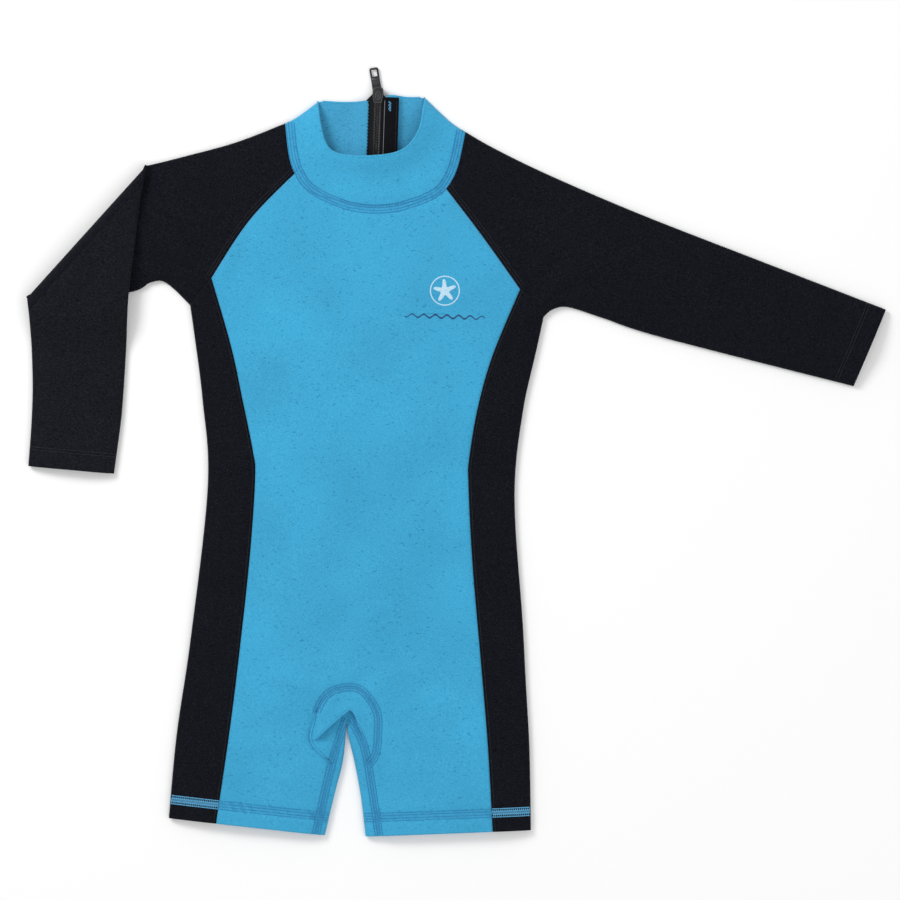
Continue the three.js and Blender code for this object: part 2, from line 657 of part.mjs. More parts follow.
// Stitching: each row is cut by the grooves of the rows that cross over it
const crossedBy = {
  gusset_stitching: ["inseam_stitching_right", "inseam_stitching_left"],
  inseam_stitching_right: ["hem_stitching_right"],
  inseam_stitching_left: ["hem_stitching_left", "inseam_stitching_right"],
  raglan_stitching_right: ["neck_stitching"],
  raglan_stitching_left: ["neck_stitching"],
  centre_back_stitching: ["zip_stitching_right", "zip_stitching_left"],
};
const threadLook = (name) => {
  if (/raglan|cuff/.test(name)) return "blackThread";
  return /hem/.test(name) ? "skyThread" : "blueThread";
};
// The largest of a solid's bodies, without the scraps that a crossing row leaves.
const largest = (solid) => solid.decompose().sort((a, b) => b.volume() - a.volume())[0];
for (const name of names) {
  let thread = threadSkin.intersect(rows[name](0)).subtract(zipSlot);
  for (const crossing of crossedBy[name] ?? []) thread = thread.subtract(rows[crossing](GAP));
  piece(name, largest(thread), threadLook(name));
}

// Collar lining, inside the collar and over the zip tape
const liningFoot = TAPE_Z + TAPE + GAP;
const liningTop = LAID_HEIGHT - CLOTH - GAP;
const liningSplit = (liningFoot + liningTop) / 2;
const liningInset = CLOTH + GAP + FOLD_CLEARANCE;
const liningSkin = slab(outline, liningInset, liningFoot, liningTop).subtract(
  slab(outline, liningInset + LINING, liningFoot + LINING, liningTop - LINING),
);
const aboveSeam = (neck) => [...offset(neck, GAP), ...collarRegion(neck).slice(-2)];
const guardTo = ZIP_X + GUARD_TO;
const zipWindow = [
  vec(ZIP_X - WINDOW_EDGE.top, collarTop(RIGHT).y + FAR / 2),
  vec(ZIP_X - WINDOW_EDGE.foot, NECK_Y - BACK_NECK_DROP - FAR / 2),
  vec(guardTo + GAP, NECK_Y - BACK_NECK_DROP - FAR / 2),
  vec(guardTo + GAP, collarTop(RIGHT).y + FAR / 2),
];
const liningCuts = joined([
  front(scoop(), liningSplit),
  back(aboveCollar, liningSplit),
  back(zipWindow, liningSplit),
]);
const liningShape = front(aboveSeam(frontNeck), liningSplit).add(back(aboveSeam(backNeck), liningSplit));
piece("collar_lining", liningSkin.intersect(liningShape).subtract(liningCuts), "blue");

// Zip: tapes on the inside of the turned edges, coils between them, stops at both ends
const zip = new THREE.Group();
zip.position.set(ZIP_X, 0, 0);
suit.add(zip);

function zipPiece(name, solid, look, group = zip) {
  const mesh = new THREE.Mesh(toGeometry(solid), new THREE.MeshStandardMaterial(paint[look]));
  mesh.name = name;
  group.add(mesh);
}

const chainZ = TAPE_Z + TAPE / 2;
const coilReach = COIL_OFFSET + COIL_RADIUS;
const tapeInner = coilReach + GAP;
const coilTopY = zipTopY + CHAIN_END;
const coilFootY = hingeY - ZIP_OPENING - SLIDER_LENGTH / 2 - GAP;
const chainBox = (x0, x1, y0, y1) => box(x0, x1, y0, y1, chainZ - COIL_RADIUS, chainZ + COIL_RADIUS);
for (const [side, word] of [[RIGHT, "right"], [LEFT, "left"]]) {
  const tape = [
    vec(side * tapeInner, slotFootY - TAPE_TAIL),
    vec(side * TAPE_HALF, slotFootY - TAPE_TAIL),
    vec(side * TAPE_HALF, coilTopY - TAPE_SLANT),
    vec(side * tapeInner, coilTopY),
  ];
  zipPiece(`zip_tape_${word}`, prism(tape, TAPE_Z, TAPE_Z + TAPE), "zip");
  const coil = new THREE.CylinderGeometry(COIL_RADIUS, COIL_RADIUS, coilTopY - coilFootY, ROUND_SIDES);
  coil.translate(side * COIL_OFFSET, (coilTopY + coilFootY) / 2, chainZ);
  zipPiece(`zip_coil_${word}`, toSolid(coil), "zip");
  const [near, far] = side === RIGHT ? [-coilReach, -coilReach + 2 * COIL_RADIUS] : [coilReach - 2 * COIL_RADIUS, coilReach];
  zipPiece(`zip_top_stop_${word}`, chainBox(near, far, coilTopY + GAP, coilTopY + GAP + STOP_LENGTH), "metal");
}
const footStopTop = coilFootY - GAP;
zipPiece("zip_bottom_stop", chainBox(-coilReach, coilReach, footStopTop - FOOT_STOP_LENGTH, footStopTop), "metal");
const guardTop = collarTop(RIGHT).y + GUARD_RISE;
const guard = box(GUARD_FROM, GUARD_TO, guardTop - GUARD_LENGTH, guardTop, liningFoot, liningFoot + GUARD);
zipPiece("zip_guard", guard, "black");

// Slider: two plates with lips round the tapes, a post between the coils, and a bridge for the pull
const channelFoot = chainZ - COIL_RADIUS - COIL_CLEARANCE;
const channelTop = chainZ + COIL_RADIUS + COIL_CLEARANCE;
const noseY = zipTopY + SLIDER_LENGTH;
// Half-widths along the slider: a narrow mouth, full shoulders and a blunt nose.
const sliderPlan = (grow) => {
  const at = (side, half, share) => vec(side * (half + grow), mix(zipTopY, noseY, share));
  const half = (side) => [
    at(side, SLIDER_MOUTH_HALF, 0),
    at(side, SLIDER_NOSE_HALF, 0.45),
    at(side, SLIDER_NOSE_HALF, 0.8),
    at(side, SLIDER_NOSE_HALF / 2, 1),
  ];
  return [...half(LEFT), ...half(RIGHT).reverse()];
};
const lips = (low, high) =>
  prism(sliderPlan(0), low, high)
    .subtract(prism(sliderPlan(-SLIDER_LIP), low - FAR, high + FAR))
    .subtract(box(-tapeInner, tapeInner, zipTopY - FAR, noseY + FAR, low - FAR, high + FAR));
const bridgeFoot = channelFoot - SLIDER_PLATE;
const plates = [
  prism(sliderPlan(0), bridgeFoot, channelFoot),
  prism(sliderPlan(0), channelTop, channelTop + SLIDER_PLATE),
  lips(channelFoot - HAIR, TAPE_Z - GAP),
  lips(TAPE_Z + TAPE + GAP, channelTop + HAIR),
];
const postTop = noseY - POST_INSET;
const post = box(-POST_HALF, POST_HALF, postTop - POST_LENGTH, postTop, channelFoot - HAIR, channelTop + HAIR);
const bridgePart = (y0, y1, high) => box(-BRIDGE_HALF, BRIDGE_HALF, y0, y1, 0, high);
const bridgeStart = hingeY - BRIDGE_LENGTH / 2;
const bridgeEnd = hingeY + BRIDGE_LENGTH / 2;
const bridge = [
  bridgePart(bridgeStart, bridgeStart + BRIDGE_LEG, bridgeFoot + HAIR),
  bridgePart(bridgeEnd - BRIDGE_LEG, bridgeEnd, bridgeFoot + HAIR),
  bridgePart(bridgeStart, bridgeEnd, BRIDGE_BAR),
];
zipPiece("zip_slider", joined([...plates, post, ...bridge]), "metal");

// Pull: a flat tab whose cross-bar turns in the bridge, with a window at its far end
const pull = new THREE.Group();
pull.position.set(0, hingeY, (BRIDGE_BAR + bridgeFoot) / 2);
pull.rotation.z = toRadians(PULL_LEAN);
zip.add(pull);
const crossBar = new THREE.CylinderGeometry(BAR_RADIUS, BAR_RADIUS, 2 * (PULL_HALF - HAIR), ROUND_SIDES);
crossBar.rotateZ(Math.PI / 2);
const tabOutline = [
  vec(-PULL_HALF, -GAP),
  vec(PULL_HALF, -GAP),
  vec(PULL_HALF, PULL_LENGTH - PULL_CHAMFER),
  vec(PULL_HALF - PULL_CHAMFER, PULL_LENGTH),
  vec(-PULL_HALF + PULL_CHAMFER, PULL_LENGTH),
  vec(-PULL_HALF, PULL_LENGTH - PULL_CHAMFER),
];
const cutThrough = (half, y0, y1) => box(-half, half, y0, y1, -PULL_THICKNESS, PULL_THICKNESS);
const tab = prism(tabOutline, -PULL_THICKNESS / 2, PULL_THICKNESS / 2)
  .subtract(cutThrough(PULL_EYE_HALF, -PULL_EYE, PULL_EYE))
  .subtract(cutThrough(PULL_WINDOW.half, PULL_WINDOW.from, PULL_WINDOW.to))
  .add(toSolid(crossBar));
zipPiece("pull_tab", tab, "metal", pull);

// Folded half of the right sleeve: made flat, then laid over the upper half and down to the floor
const foreOutline = [
  along(creaseTop, foldedRun, -FAR),
  along(creaseFoot, foldedRun, -FAR / 2),
  creaseFoot,
  foldedCuffFoot,
  along(foldedCuffFoot, foldedRun, FAR / 3),
  along(foldedCuffTop, foldedRun, FAR / 3),
];
const creaseNormal = heading(CREASE_ANGLE - 90);
const foreOpenings = joined([
  prism(pastLine(along(foldedCuffTop, foldedRun, -HAIR), along(foldedCuffFoot, foldedRun, -HAIR), foldedRun)),
  prism(pastLine(along(creaseTop, creaseNormal, -GAP), along(creaseFoot, creaseNormal, -GAP), creaseNormal)),
]);
const foreRow = (extra) =>
  prism(centred(longer(cuffRow(foldedCuffTop, foldedCuffFoot, foldedRun)), CUFF_STITCH + 2 * extra));
const foreOutside = slab(foreOutline, 0, 0, LAID_HEIGHT);
const foreUnderGroove = slab(foreOutline, grooveDepth, grooveDepth, LAID_HEIGHT - grooveDepth);
const foreSleeve = foreOutside
  .subtract(slab(foreOutline, CLOTH, CLOTH, LAID_HEIGHT - CLOTH))
  .subtract(foreOpenings)
  .subtract(foreRow(GAP).subtract(foreUnderGroove));
const foreThread = foreOutside
  .subtract(slab(foreOutline, THREAD, THREAD, LAID_HEIGHT - THREAD))
  .subtract(foreOpenings)
  .intersect(foreRow(0));

const lift = LAID_HEIGHT + GAP;
const droopTop = creaseFoot.y - FOREARM_LEVEL;
const droopFoot = droopTop - FOREARM_DROOP;
// The part of a flat solid between two heights, raised by an amount that grows steadily with Y.
function raised(solid, low, high, raise, slope) {
  const slice = solid.intersect(box(-8 * FAR, 8 * FAR, low, high, -FAR, FAR));
  const shear = new THREE.Matrix4();
  shear.elements[6] = slope; // z grows with y
  shear.elements[14] = raise - slope * droopTop;
  return toSolid(toGeometry(slice).applyMatrix4(shear));
}
const forearm = joined([
  raised(foreSleeve, droopTop - GAP, 8 * FAR, lift, 0),
  raised(foreSleeve, droopFoot, droopTop, lift, lift / FOREARM_DROOP),
  raised(foreSleeve, -8 * FAR, droopFoot + GAP, 0, 0),
]);
piece("right_sleeve_forearm", forearm, "black");
piece("cuff_stitching_right", foreThread, "blackThread");

// ---- Origin: the middle of the footprint, on the floor ----

const extent = new THREE.Box3().setFromObject(suit);
suit.position.set(-(extent.min.x + extent.max.x) / 2, -(extent.min.y + extent.max.y) / 2, -extent.min.z);
const part = new THREE.Group();
part.add(suit);
export default part;
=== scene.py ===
"""A small child's one-piece water suit laid flat: knitted panels, flatlock seams, collar and back zip."""

import math

import bpy
import numpy as np
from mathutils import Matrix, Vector
from mathutils.geometry import delaunay_2d_cdt


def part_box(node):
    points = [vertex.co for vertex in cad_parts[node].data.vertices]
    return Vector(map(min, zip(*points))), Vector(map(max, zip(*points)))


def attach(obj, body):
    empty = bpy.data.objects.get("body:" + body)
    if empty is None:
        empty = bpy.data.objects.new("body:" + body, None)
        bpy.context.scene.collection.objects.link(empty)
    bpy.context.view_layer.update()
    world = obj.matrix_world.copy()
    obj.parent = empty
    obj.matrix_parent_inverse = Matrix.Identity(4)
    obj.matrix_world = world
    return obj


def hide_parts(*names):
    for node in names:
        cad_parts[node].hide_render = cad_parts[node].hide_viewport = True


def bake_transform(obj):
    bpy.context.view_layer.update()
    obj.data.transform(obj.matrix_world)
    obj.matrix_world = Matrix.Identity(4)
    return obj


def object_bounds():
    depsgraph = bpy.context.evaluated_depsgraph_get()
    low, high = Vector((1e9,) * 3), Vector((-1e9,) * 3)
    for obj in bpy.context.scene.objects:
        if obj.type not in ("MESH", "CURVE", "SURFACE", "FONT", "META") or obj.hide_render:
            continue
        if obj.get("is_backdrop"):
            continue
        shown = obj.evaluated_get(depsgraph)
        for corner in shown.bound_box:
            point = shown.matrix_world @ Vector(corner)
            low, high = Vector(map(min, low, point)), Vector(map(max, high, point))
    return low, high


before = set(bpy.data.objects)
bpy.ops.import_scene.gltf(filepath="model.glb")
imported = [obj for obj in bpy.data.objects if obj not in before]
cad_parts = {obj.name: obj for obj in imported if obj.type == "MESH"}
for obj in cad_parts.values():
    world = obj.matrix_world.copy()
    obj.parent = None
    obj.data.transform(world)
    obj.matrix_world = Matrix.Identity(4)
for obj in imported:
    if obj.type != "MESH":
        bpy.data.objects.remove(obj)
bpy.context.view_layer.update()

# ---------------------------------------------------------------------------
# The garment's own lines, in millimetres from its centre line and waist. X is
# towards the wearer's left, Y to the collar. The seams lie within 4 mm of the
# solid model's, and the crease within 6 mm of it.
# ---------------------------------------------------------------------------
CHEST_HALF, CHEST_Y = 134.0, 114.0
ARMPIT_HALF, ARMPIT_Y = 137.0, 131.0
WAIST_HALF, WAIST_Y = 118.7, -8.0
HIP_SHARE = 0.42
HEM_HALF, HEM_Y, HEM_DROP = 140.3, -266.5, 9.3
LEG_GAP, CROTCH_X, CROTCH_Y = 29.5, -4.3, -196.0
NECK_HALF, NECK_X, NECK_Y, NECK_TILT = 68.0, 1.8, 274.0, 2.0
FRONT_NECK_DROP, BACK_NECK_DROP = 62.0, 26.0
COLLAR_HALF, COLLAR_RISE, SCOOP_DEPTH = 41.3, 20.5, 44.0
PANEL_UNDERARM, PANEL_UNDERARM_Y = 119.5, 152.0
SLEEVE_LENGTH, CUFF_WIDTH = 353.0, 64.5
LEFT_DROP, RIGHT_DROP, SLEEVE_SAG = 21.0, 19.0, 6.0
CREASE_AT, CREASE_LENGTH, CREASE_ANGLE = 117.5, 133.0, 231.1
FOREARM_BEND = 3.6
GUSSET_FOOT_Y = -220.0
INSEAM_TOP_Y, INSEAM_RIGHT, INSEAM_LEFT = -182.0, 7.2, 12.6
ZIP_X, SLOT_HALF, SLIDER_LENGTH, ZIP_OPENING, PULL_LENGTH = 3.0, 6.6, 13.0, 290.0, 21.4
HEM_DEPTH, CUFF_HEM = 14.5, 14.0
FAR = 60.0
RIGHT, LEFT = -1, 1
SIDES = ((RIGHT, "right"), (LEFT, "left"))
FOREARM_EXTRA = 2.0  # what the folded forearm gains in length as it lies
CREASE_TUCK = 5.7  # how far the cloth turns inside the hinge line at the top of the sleeve
LEFT_SIDE_SWELLS = ((2.6, -110, 75), (-1.5, 60, 32))  # height, place and reach of each, on the left side edge

# Looks: thicknesses and heights of the laid cloth
CLOTH = 1.1
FOLD = 2.3  # outer radius of a fold
CROWN = 8.8  # height of the upper layer well away from the folds
LATTICE = 3.4  # spacing of the mesh points inside a panel


def P(x, y):
    return np.array([x, y], float)


def lerp(a, b, t):
    return a + (b - a) * t


def heading(deg):
    return P(math.cos(math.radians(deg)), math.sin(math.radians(deg)))


def unit(v):
    return v / np.linalg.norm(v)


def spline(points, steps):
    """Points of a uniform Catmull-Rom curve through the given ones."""
    pts = np.array(points, float)
    n = len(pts)
    out = []
    for k in range(steps + 1):
        p = (n - 1) * k / steps
        i = min(int(p), n - 1)
        w = p - i
        p0, p1 = pts[i if i == 0 else i - 1], pts[i]
        p2, p3 = pts[n - 1 if i > n - 2 else i + 1], pts[n - 1 if i > n - 3 else i + 2]
        a, b = (p2 - p0) * 0.5, (p3 - p1) * 0.5
        out.append((2 * p1 - 2 * p2 + a + b) * w**3 + (-3 * p1 + 3 * p2 - 2 * a - b) * w**2 + a * w + p1)
    return np.array(out)


def joined(*runs):
    return np.vstack([np.atleast_2d(r) for r in runs])


def resample(line, step):
    line = np.array(line, float)
    d = np.r_[0, np.cumsum(np.linalg.norm(np.diff(line, axis=0), axis=1))]
    keep = np.r_[True, np.diff(d) > 1e-9]
    line, d = line[keep], d[keep]
    n = max(int(round(d[-1] / step)), 1)
    t = np.linspace(0, d[-1], n + 1)
    return np.stack([np.interp(t, d, line[:, k]) for k in range(line.shape[1])], 1)


def offset(line, distance):
    """The line moved sideways, to its left when the distance is positive."""
    line = np.array(line, float)
    run = np.gradient(line, axis=0)
    run /= np.linalg.norm(run, axis=1)[:, None] + 1e-12
    return line + np.stack([-run[:, 1], run[:, 0]], 1) * distance


def neck_point(side):
    return P(NECK_X + side * (NECK_HALF + 2.2), NECK_Y - side * NECK_TILT / 2 - 1)


def armpit(side):
    return P(side * ARMPIT_HALF, ARMPIT_Y)


def side_edge(side):
    knots = [
        P(side * CHEST_HALF, CHEST_Y),
        P(side * lerp(WAIST_HALF, CHEST_HALF, 0.42), lerp(WAIST_Y, CHEST_Y, 0.55)),
        P(side * WAIST_HALF, WAIST_Y),
        P(side * lerp(WAIST_HALF, HEM_HALF, HIP_SHARE), lerp(WAIST_Y, HEM_Y, 0.45)),
        P(side * lerp(WAIST_HALF, HEM_HALF, 0.82), lerp(WAIST_Y, HEM_Y, 0.75)),
        P(side * HEM_HALF, HEM_Y),
    ]
    line = spline(knots, 60)
    if side == LEFT:
        y = line[:, 1]
        line[:, 0] += sum(
            height * np.exp(-(((y - at) / reach) ** 2)) for height, at, reach in LEFT_SIDE_SWELLS
        )
    return joined(line, P(side * (HEM_HALF + 2), HEM_Y - FAR / 2))


def inner_hem(side):
    return P(CROTCH_X + side * LEG_GAP / 2, HEM_Y - HEM_DROP)


def inner_leg(side):
    if side == RIGHT:
        knots = [(-5.4, -188), (-5.7, -202), (-7.2, -219.8)]
        knots += [(-11.4, -238.6), (-15.6, -258.6), (-19.2, -276.8)]
    else:
        knots = [(-5.4, -188), (-3.4, -198.9), (1.7, -217.4)]
        knots += [(5.3, -232.9), (8.4, -248.4), (12.6, -277)]
    return joined(spline(knots, 40), P(knots[-1][0] + side * 1.5, HEM_Y - HEM_DROP - FAR / 2))


def hem_line(side):
    outer, inner = P(side * HEM_HALF, HEM_Y), inner_hem(side)
    run = unit(inner - outer)
    return joined(outer - run * FAR / 2, inner + run * (LEG_GAP / 2 - 1.5))


left_run, left_across = heading(-LEFT_DROP), heading(-LEFT_DROP - 90)
left_cuff_top = neck_point(LEFT) + left_run * SLEEVE_LENGTH
left_cuff_foot = left_cuff_top + left_across * CUFF_WIDTH


def left_sleeve_edge():
    top, hole = neck_point(LEFT), armpit(LEFT)
    lower = spline(
        [
            hole,
            hole + P(7, 6),
            hole + P(19, 8),
            hole + P(46, 0.5),
            P(lerp(hole[0], left_cuff_foot[0], 0.38), lerp(hole[1], left_cuff_foot[1], 0.28)),
            left_cuff_foot,
        ],
        56,
    )
    knots = [left_cuff_top]
    for share, sag in ((0.72, 0.5), (0.42, 1), (0.2, 0.92), (0.07, 0.5)):
        knots.append(top + left_run * SLEEVE_LENGTH * share + left_across * SLEEVE_SAG * sag)
    knots.append(top)
    past = [c + left_run * FAR / 2 for c in (left_cuff_foot, left_cuff_top)]
    return joined(lower, past[0], past[1], spline(knots, 40))


BEND = 8.0  # the cloth turns over within this distance of the crease
right_run = heading(180 + RIGHT_DROP)
hinge_top = neck_point(RIGHT) + right_run * CREASE_AT
crease_foot = hinge_top + heading(CREASE_ANGLE) * CREASE_LENGTH
folded_angle = 2 * CREASE_ANGLE - 180 - RIGHT_DROP + FOREARM_BEND
folded_run, folded_across = heading(folded_angle), heading(folded_angle - 90)
folded_cuff_top = hinge_top + folded_run * (SLEEVE_LENGTH - CREASE_AT + FOREARM_EXTRA)
folded_cuff_foot = folded_cuff_top + folded_across * CUFF_WIDTH
crease_top = neck_point(RIGHT) + right_run * (CREASE_AT - CREASE_TUCK)
crease_run = unit(crease_foot - crease_top)
crease_inward = P(-crease_run[1], crease_run[0])  # from the crease towards the body
bend_top, bend_foot = crease_top + crease_inward * BEND, crease_foot + crease_inward * BEND


def right_upper_edge():
    top, hole = neck_point(RIGHT), armpit(RIGHT)
    down = heading(-90)
    upper = spline(
        [
            top,
            top + right_run * CREASE_AT * 0.33 + down * SLEEVE_SAG * 0.5,
            top + right_run * CREASE_AT * 0.66 + down * SLEEVE_SAG * 0.3,
            crease_top,
        ],
        20,
    )
    lower = spline(
        [
            crease_foot,
            P(lerp(crease_foot[0], hole[0], 0.6), lerp(crease_foot[1], ARMPIT_Y + 13, 0.55)),
            hole + P(-31, 16.5),
            hole + P(-19, 16.5),
            hole,
        ],
        48,
    )
    return joined(upper, crease_top + right_run * FAR / 2, crease_foot + right_run * FAR / 2, lower)


def collar_top(side):
    return P(NECK_X - 3.7 + side * COLLAR_HALF, NECK_Y + COLLAR_RISE + side * 2.9)


def collar_edge(side):
    foot, top = neck_point(side), collar_top(side)
    knots = [foot, P(lerp(foot[0], top[0], 0.38), lerp(foot[1], top[1], 0.3)), top]
    return joined(spline(knots, 14), P(top[0] - side * 5, top[1] + FAR / 3))


outline = joined(
    collar_edge(RIGHT)[::-1],
    right_upper_edge()[1:],
    side_edge(RIGHT),
    inner_leg(RIGHT)[::-1],
    inner_leg(LEFT)[1:],
    side_edge(LEFT)[::-1],
    left_sleeve_edge(),
    collar_edge(LEFT)[1:],
)


def neck_seam(drop, squareness):
    def at(share, depth):
        return P(NECK_X + share * (NECK_HALF - 1), NECK_Y - share * NECK_TILT * 0.5 - drop * depth)

    deep = 1 - squareness
    knots = [at(-1, 0), at(-0.9, deep), at(-0.64, 0.86), at(0, 1), at(0.64, 0.84), at(0.89, deep), at(1, 0)]
    return joined(at(-1.06, -0.3), spline(knots, 80), at(1.06, -0.3))


front_neck = neck_seam(FRONT_NECK_DROP, 0.45)
neck_side = np.clip((np.abs(front_neck[:, 0] - NECK_X) - 24) / 32, 0, 1)
neck_side = neck_side * neck_side * (3 - 2 * neck_side)
# the collar laps over the sleeves' raw edge at the sides
front_neck = front_neck - (offset(front_neck, 1) - front_neck) * (3.1 * neck_side)[:, None]
back_neck = neck_seam(BACK_NECK_DROP, 0.4)


def underarm(side):
    return P(side * PANEL_UNDERARM - 1.5, PANEL_UNDERARM_Y - side * 0.4)


def raglan_seam(side, start, bulge):
    corner = underarm(side)
    middle = P(lerp(start[0], corner[0], 0.5) + side * bulge, lerp(start[1], corner[1], 0.5) + bulge * 0.6)
    return spline([start, middle, corner], 36)


def underarm_seam(side):
    run = unit(armpit(side) - underarm(side))
    return joined(underarm(side), armpit(side) + run * 18)


front_raglan = {
    RIGHT: raglan_seam(RIGHT, P(NECK_X - 56.5, NECK_Y - 34), 4.5),
    LEFT: raglan_seam(LEFT, P(NECK_X + 51, NECK_Y - 40), 0.8),
}
back_raglan = {
    RIGHT: raglan_seam(RIGHT, P(NECK_X - 48, NECK_Y - 12), 4),
    LEFT: raglan_seam(LEFT, P(NECK_X + 46, NECK_Y - 14), 3),
}


def panel_seam(side):
    if side == RIGHT:
        knots = [(-104, 100), (-94, 60), (-84.5, 20), (-82, 0)]
        knots += [(-84, -60), (-90, -140), (-95.5, -200), (-103, -266)]
    else:
        knots = [(98.5, 100), (88.5, 60), (83, 20), (83, 0)]
        knots += [(88, -60), (97.5, -140), (104.5, -200), (110.5, -266)]
    return joined(spline([underarm(side)] + knots, 90), P(knots[-1][0] + side * 2, HEM_Y - FAR / 2))


def inseam(side):
    inset = INSEAM_RIGHT if side == RIGHT else INSEAM_LEFT
    foot, hem = inner_leg(side)[-1], inner_hem(side)
    knots = [
        P(CROTCH_X, INSEAM_TOP_Y),
        P(CROTCH_X + side * inset, lerp(CROTCH_Y, hem[1], 0.1)),
        P(lerp(CROTCH_X, hem[0], 0.45) + side * inset, lerp(CROTCH_Y, hem[1], 0.45)),
        P(hem[0] + side * inset, hem[1]),
    ]
    return joined(spline(knots, 30), P(foot[0] + side * inset, foot[1]))


def point_at(line, y):
    i = int(np.argmax(line[:, 1] < y))
    a, b = line[i - 1], line[i]
    return a + (b - a) * (a[1] - y) / (a[1] - b[1])


GUSSET_CORNER = (-31.5, -204.2)


def gusset_arch():
    knots = [
        point_at(inseam(RIGHT), GUSSET_FOOT_Y),
        GUSSET_CORNER,
        (-30.2, -188),
        (-26.3, -174.5),
        (-18.9, -164.9),
        (-6.6, -160.7),
        (4.0, -161.6),
        (12.3, -169.2),
        (18.6, -180.8),
        (19.4, -196.3),
        (18.2, -211.9),
        point_at(inseam(LEFT), GUSSET_FOOT_Y),
    ]
    return spline(knots, 90)


zip_top_y = collar_top(LEFT)[1] - 5.6
hinge_y = zip_top_y + SLIDER_LENGTH / 2
slot_foot_y = hinge_y - ZIP_OPENING - PULL_LENGTH - 1.5
centre_back = joined(P(ZIP_X, slot_foot_y + 4), P(CROTCH_X, CROTCH_Y + 14), P(CROTCH_X, HEM_Y - FAR))


def scoop_rim():
    right, left = collar_top(RIGHT), collar_top(LEFT)
    knots = [(0, 0), (0.014, 0.3), (0.08, 0.74), (0.18, 0.93), (0.36, 1), (0.56, 1.01), (0.74, 0.97)]
    knots += [(0.87, 0.84), (0.965, 0.55), (0.995, 0.2), (1, 0)]
    return spline([right + (left - right) * s - P(0, SCOOP_DEPTH * d) for s, d in knots], 70)


mouth_run = unit(collar_top(LEFT) - collar_top(RIGHT))
collar_mouth = spline(
    [
        collar_top(RIGHT) - mouth_run * 10,
        collar_top(RIGHT) + mouth_run * 3 - P(0, 0.2),
        collar_top(RIGHT) + mouth_run * 20 - P(0, 1.7),
        collar_top(RIGHT) + mouth_run * 36 - P(0, 1.5),
        P(ZIP_X + 8, zip_top_y + 5.9),
        collar_top(LEFT) - mouth_run * 12 + P(0, 0.2),
        collar_top(LEFT) + mouth_run * 10,
    ],
    60,
)

# ---------------------------------------------------------------------------
# Point and distance helpers
# ---------------------------------------------------------------------------


def inside(polygon, pts):
    poly = np.array(polygon, float)
    x, y = pts[:, 0], pts[:, 1]
    hit = np.zeros(len(pts), bool)
    for (x1, y1), (x2, y2) in zip(poly, np.roll(poly, -1, axis=0)):
        cross = (y1 > y) != (y2 > y)
        if cross.any():
            hit ^= cross & (x < (x2 - x1) * (y - y1) / (y2 - y1 + 1e-30) + x1)
    return hit


def distance(line, pts, closed=False):
    """Distance from each point to a polyline."""
    a = np.array(line, float)
    b = np.roll(a, -1, axis=0) if closed else a[1:]
    a = a if closed else a[:-1]
    best = np.full(len(pts), 1e18)
    for p, q in zip(a, b):
        d = q - p
        t = np.clip(((pts - p) @ d) / (d @ d + 1e-12), 0, 1)
        r = pts - p - t[:, None] * d
        best = np.minimum(best, (r * r).sum(1))
    return np.sqrt(best)


def along_line(line, pts):
    """Signed distance to the nearest point of a polyline and the share of its length there."""
    line = np.array(line, float)
    seg = np.linalg.norm(np.diff(line, axis=0), axis=1)
    start = np.r_[0, np.cumsum(seg)]
    best = np.full(len(pts), 1e18)
    side = np.zeros(len(pts))
    share = np.zeros(len(pts))
    for i, (p, q) in enumerate(zip(line[:-1], line[1:])):
        d = q - p
        t = np.clip(((pts - p) @ d) / (d @ d + 1e-12), 0, 1)
        r = pts - p - t[:, None] * d
        dist = (r * r).sum(1)
        near = dist < best
        best[near] = dist[near]
        side[near] = np.sign(d[0] * r[near, 1] - d[1] * r[near, 0])
        share[near] = (start[i] + t[near] * seg[i]) / start[-1]
    return np.sqrt(best) * side, share


class Noise:
    """Smooth noise from a seeded lattice of random values, the same on each run."""

    def __init__(self, seed, cell):
        self.cell = cell
        self.table = np.random.RandomState(seed).uniform(-1, 1, (64, 64))

    def __call__(self, pts):
        q = pts / self.cell + 400
        i = np.floor(q).astype(int)
        f = q - i
        f = f * f * f * (f * (f * 6 - 15) + 10)
        t = self.table
        x0, y0 = i[:, 0] % 64, i[:, 1] % 64
        x1, y1 = (x0 + 1) % 64, (y0 + 1) % 64
        low = t[x0, y0] * (1 - f[:, 0]) + t[x1, y0] * f[:, 0]
        high = t[x0, y1] * (1 - f[:, 0]) + t[x1, y1] * f[:, 0]
        return low * (1 - f[:, 1]) + high * f[:, 1]


broad, middle_noise, fine_noise = Noise(11, 85.0), Noise(12, 31.0), Noise(13, 9.0)

# ---------------------------------------------------------------------------
# Height of the laid cloth, in millimetres, over the whole garment
# ---------------------------------------------------------------------------

